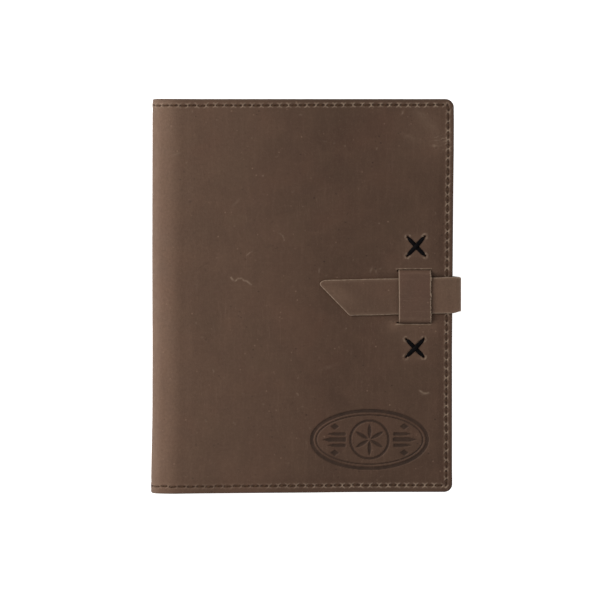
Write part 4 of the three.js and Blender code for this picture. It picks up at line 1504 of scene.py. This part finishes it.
# ---- keeper ----
def keeper():
    x0, x1 = K_LO[0] + 0.15, K_HI[0] + 0.1
    zb = Z_OUT + 0.22 + 1.4  # outer face of the band
    f = TOP - HIDE - 0.1
    # outer face, from the upper tail's end over the strap to the lower tail's end, in Y and Z
    pts = [(K_HI[1], f), (16.6, f), (15.5, f + 0.15), (14.9, f + 0.7), (14.7, f + 1.6), (14.6, TOP + 0.35), (14.4, TOP + 1.0), (14.0, TOP + 2.0), (13.1, zb - 0.5), (11.9, zb - 0.08), (10.2, zb + 0.05),
           (6, zb + 0.1), (0.4, zb + 0.12), (-6, zb + 0.1), (-10.4, zb + 0.05), (-12.4, zb - 0.08), (-13.6, zb - 0.5), (-14.6, TOP + 2.0), (-15.05, TOP + 1.0), (-15.3, TOP + 0.35), (-15.4, f + 1.6), (-15.6, f + 0.7), (-16.2, f + 0.15), (-17.3, f), (K_LO[1], f)]
    p = np.array(pts, float)
    d = np.concatenate([[0], np.cumsum(np.linalg.norm(np.diff(p, axis=0), axis=1))])
    # smooth it
    n = 150
    uu = np.concatenate([np.linspace(0, d[1], 8)[:-1], np.linspace(d[1], d[-2], n), np.linspace(d[-2], d[-1], 8)[1:]])
    q = np.stack([np.interp(uu, d, p[:, 0]), np.interp(uu, d, p[:, 1])], 1)
    for _ in range(6):
        q[1:-1] = (q[:-2] + 2 * q[1:-1] + q[2:]) / 4
    t = np.gradient(q, axis=0)
    t /= np.linalg.norm(t, axis=1)[:, None]
    nrm = np.stack([t[:, 1], -t[:, 0]], 1)
    nrm = np.where(nrm[:, 1:2] * 0 + 1 > 0, nrm, nrm)
    xs = np.concatenate([x0 + np.array([0, 0.06, 0.16, 0.32, 0.55, 0.9]), np.linspace(x0 + 1.4, x1 - 1.4, 30), x1 - np.array([0.9, 0.6, 0.4, 0.22, 0.1, 0])])
    thick = np.interp(uu, [0, d[1], d[1] + 2, d[1] + 6, d[-2] - 6, d[-2] - 2, d[-2], d[-1]], [0.7, 0.7, 0.7, 1.3, 1.3, 0.7, 0.7, 0.7])

    def base(I, J):
        x, u = xs[J], uu[I]
        band = smooth((17 - np.abs(q[I, 0])) / 2)
        rag = 0.24 * value_noise(u, u * 0, 0.75, 801) + 0.16 * value_noise(u, u * 0, 2.3, 803)
        wig = 0.10 * value_noise(u, u * 0, 6.0, 805)
        return x, u, band, rag, wig

    def place(I, J, side):
        x, u, band, rag, wig = base(I, J)
        right = smooth((x - x1 + 1.2) / 1.2)
        left = smooth((x0 + 1.2 - x) / 1.2)
        xx = x + rag * right + wig * left - 0.006 * q[I, 0]
        d_e = np.minimum(x - x0, x1 - x)
        h = (0.05 * fractal(u, x, 9, 820) + 0.03 * fractal(u, x, 3, 823, 2)) * band
        h += 0.12 * (1 - ((x - (x0 + x1) / 2) / 9) ** 2) * band
        r_e = np.minimum(0.5, thick[I] * 0.45)
        drop = r_e - np.sqrt(np.maximum(r_e**2 - np.maximum(r_e - d_e, 0) ** 2, 0))
        hh = h - drop if side else -thick[I] + drop * 0.6
        y = q[I, 0] + nrm[I, 0] * hh
        z = q[I, 1] + nrm[I, 1] * hh
        return np.stack([xx, y, z], 1)

    def attrs(I, J):
        x, u, band, rag, wig = base(I, J)
        nz = value_noise(u, x, 0.6, 840)
        # paler cut edges: fibres along the ragged right edge, and a painted highlight along the straight left edge
        chalk = 0.75 * gauss(x - x0 - 0.15, 0.3) + (0.75 + 0.75 * nz) * smooth((x - x1 + 0.85) / 0.6)
        pale = 0.045 + 0.10 * smooth((np.abs(q[I, 0]) - 11) / 2.5) * band
        # painted shade where the band goes down into the slits
        dark = 0.6 * smooth((np.abs(q[I, 0]) - 14.3) / 1.0)
        return {"rest": np.stack([u + 400, x, x * 0], 1) * MM, "pale": np.clip(pale, 0, 1), "chalk": np.clip(chalk, 0, 1), "dark": np.clip(dark, 0, 1)}

    ob = grid_slab("keeper_band", len(uu), len(xs), place, attrs, M_KEEP, 60, wall=((0.3, 0.02), (0.7, 0.02)))
    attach(ob, "front_panel")
    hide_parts("keeper")
    return ob


keeper()


# ---- crossed laces ----
def cross_lace(label, cx, cy, ends, node):
    verts, faces, rest = [], [], []
    ring, steps = 12, 34

    def sweep(P, W, T, tag):
        base = len(verts)
        P = np.array(P)
        t = np.gradient(P, axis=0)
        t /= np.linalg.norm(t, axis=1)[:, None]
        flat_dir = P[-1] - P[0]
        flat_dir[2] = 0
        flat_dir /= np.linalg.norm(flat_dir)
        side = np.array([-flat_dir[1], flat_dir[0], 0])
        for i in range(len(P)):
            up = np.cross(t[i], side)
            up /= np.linalg.norm(up)
            if up[2] < 0 and abs(up[2]) > 0.2:
                up = -up
            for j in range(ring):
                f = 2 * math.pi * j / ring
                c, s_ = math.cos(f), math.sin(f)
                # a flattened lace
                off = side * W[i] * np.sign(c) * abs(c) ** 0.8 + up * T[i] * np.sign(s_) * abs(s_) ** 0.9
                verts.append(P[i] + off)
                rest.append((i * 0.45 + tag * 30, W[i] * c * 1.0, s_ * T[i]))
        for i in range(len(P) - 1):
            for j in range(ring):
                j2 = (j + 1) % ring
                faces.append([base + i * ring + j, base + i * ring + j2, base + (i + 1) * ring + j2, base + (i + 1) * ring + j])
        faces.append([base + j for j in range(ring)][::-1])
        faces.append([base + (len(P) - 1) * ring + j for j in range(ring)])

    zf = TOP - HIDE - 0.75
    for tag, (a, b) in enumerate(((ends[0], ends[3]), (ends[1], ends[2]))):
        P, W, T = [], [], []
        for i in range(steps):
            u = i / (steps - 1)
            x = cx + a[0] + (b[0] - a[0]) * u
            y = cy + a[1] + (b[1] - a[1]) * u
            e = min(u, 1 - u) * 2  # 0 at an end, 1 in the middle
            z = TOP + 0.34 - 1.9 * (1 - smooth(np.array(e / 0.10))) + (0.55 * gauss(u - 0.5, 0.14) if tag == 1 else -0.12 * gauss(u - 0.5, 0.14))
            w = 0.50 + 0.62 * math.sin(math.pi / 2 * min(1, (e + 0.04) / 0.6)) ** 0.8
            x += (0.16 if tag else -0.12) * math.sin(math.pi * u)  # each arm bows a little
            P.append((x, y, float(z)))
            W.append(w)
            T.append(0.26 + 0.20 * smooth(np.array(e / 0.4)))
        sweep(P, W, T, tag)
    v = np.array(verts)
    ob = new_object(label + "_lace", v, faces, {"rest": np.array(rest, float) * MM}, 70, M_LACE)
    fix_normals(ob)
    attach(ob, "front_panel")
    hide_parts(node)


for (label, cx, cy, ends), node in zip(CROSS, ("upper_cross_lace", "lower_cross_lace")):
    cross_lace(label, cx, cy, ends, node)

# ---- floor, light, camera ----
def floor():
    me = bpy.data.meshes.new("floor")
    bm = bmesh.new()
    bmesh.ops.create_grid(bm, x_segments=8, y_segments=8, size=6.0)
    bm.to_mesh(me)
    bm.free()
    ob = bpy.data.objects.new("floor", me)
    ob.location = (0, 0, -0.0004)
    bpy.context.scene.collection.objects.link(ob)
    m = Nodes("pale_floor")
    m.bsdf.inputs["Base Color"].default_value = (0.93, 0.93, 0.93, 1)
    m.bsdf.inputs["Roughness"].default_value = 0.95
    m.bsdf.inputs["Specular IOR Level"].default_value = 0.1
    m.bsdf.inputs["Emission Color"].default_value = (1, 1, 1, 1)
    m.bsdf.inputs["Emission Strength"].default_value = 0.85
    me.materials.append(m.m)
    ob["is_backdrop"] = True


floor()


def area(name, loc, target, size, power, color=(1, 1, 1), size_y=None):
    li = bpy.data.lights.new(name, "AREA")
    li.energy = power
    li.color = color
    li.size = size
    if size_y:
        li.shape = "RECTANGLE"
        li.size_y = size_y
    ob = bpy.data.objects.new(name, li)
    bpy.context.scene.collection.objects.link(ob)
    ob.location = loc
    d = Vector(target) - Vector(loc)
    ob.rotation_mode = "QUATERNION"
    ob.rotation_quaternion = d.to_track_quat("-Z", "Y")
    return ob


area("key", (-0.80, 0.30, 0.62), (0, 0, 0), 0.6, 10.4, (1.0, 0.985, 0.97), 1.0)
area("fill", (0.9, -0.5, 1.2), (0, 0, 0), 1.2, 3.2, (0.97, 0.985, 1.0))
world = bpy.data.worlds.new("studio")
bpy.context.scene.world = world
world.use_nodes = True
bg = world.node_tree.nodes["Background"]
bg.inputs[0].default_value = (1, 1, 1, 1)
bg.inputs[1].default_value = 0.42

PX = 0.56  # millimetres of the front panel to one pixel of a 600-pixel frame
DIST = 2.4
cam_data = bpy.data.cameras.new("camera")
cam = bpy.data.objects.new("camera", cam_data)
bpy.context.scene.collection.objects.link(cam)
bpy.context.scene.camera = cam
cam_data.sensor_width = 36
cam_data.lens = 36 * DIST / (600 * PX * MM)
cam_data.clip_start, cam_data.clip_end = 0.05, 20
cam.location = (-3.47 * MM, -2.24 * MM, DIST + TOP * MM)
cam.rotation_euler = (0, 0, 0)

vs_ = bpy.context.scene.view_settings
vs_.view_transform = "Standard"
vs_.look = "None"
vs_.exposure = 0.0
vs_.gamma = 1.0

bpy.context.view_layer.update()
lo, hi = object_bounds()
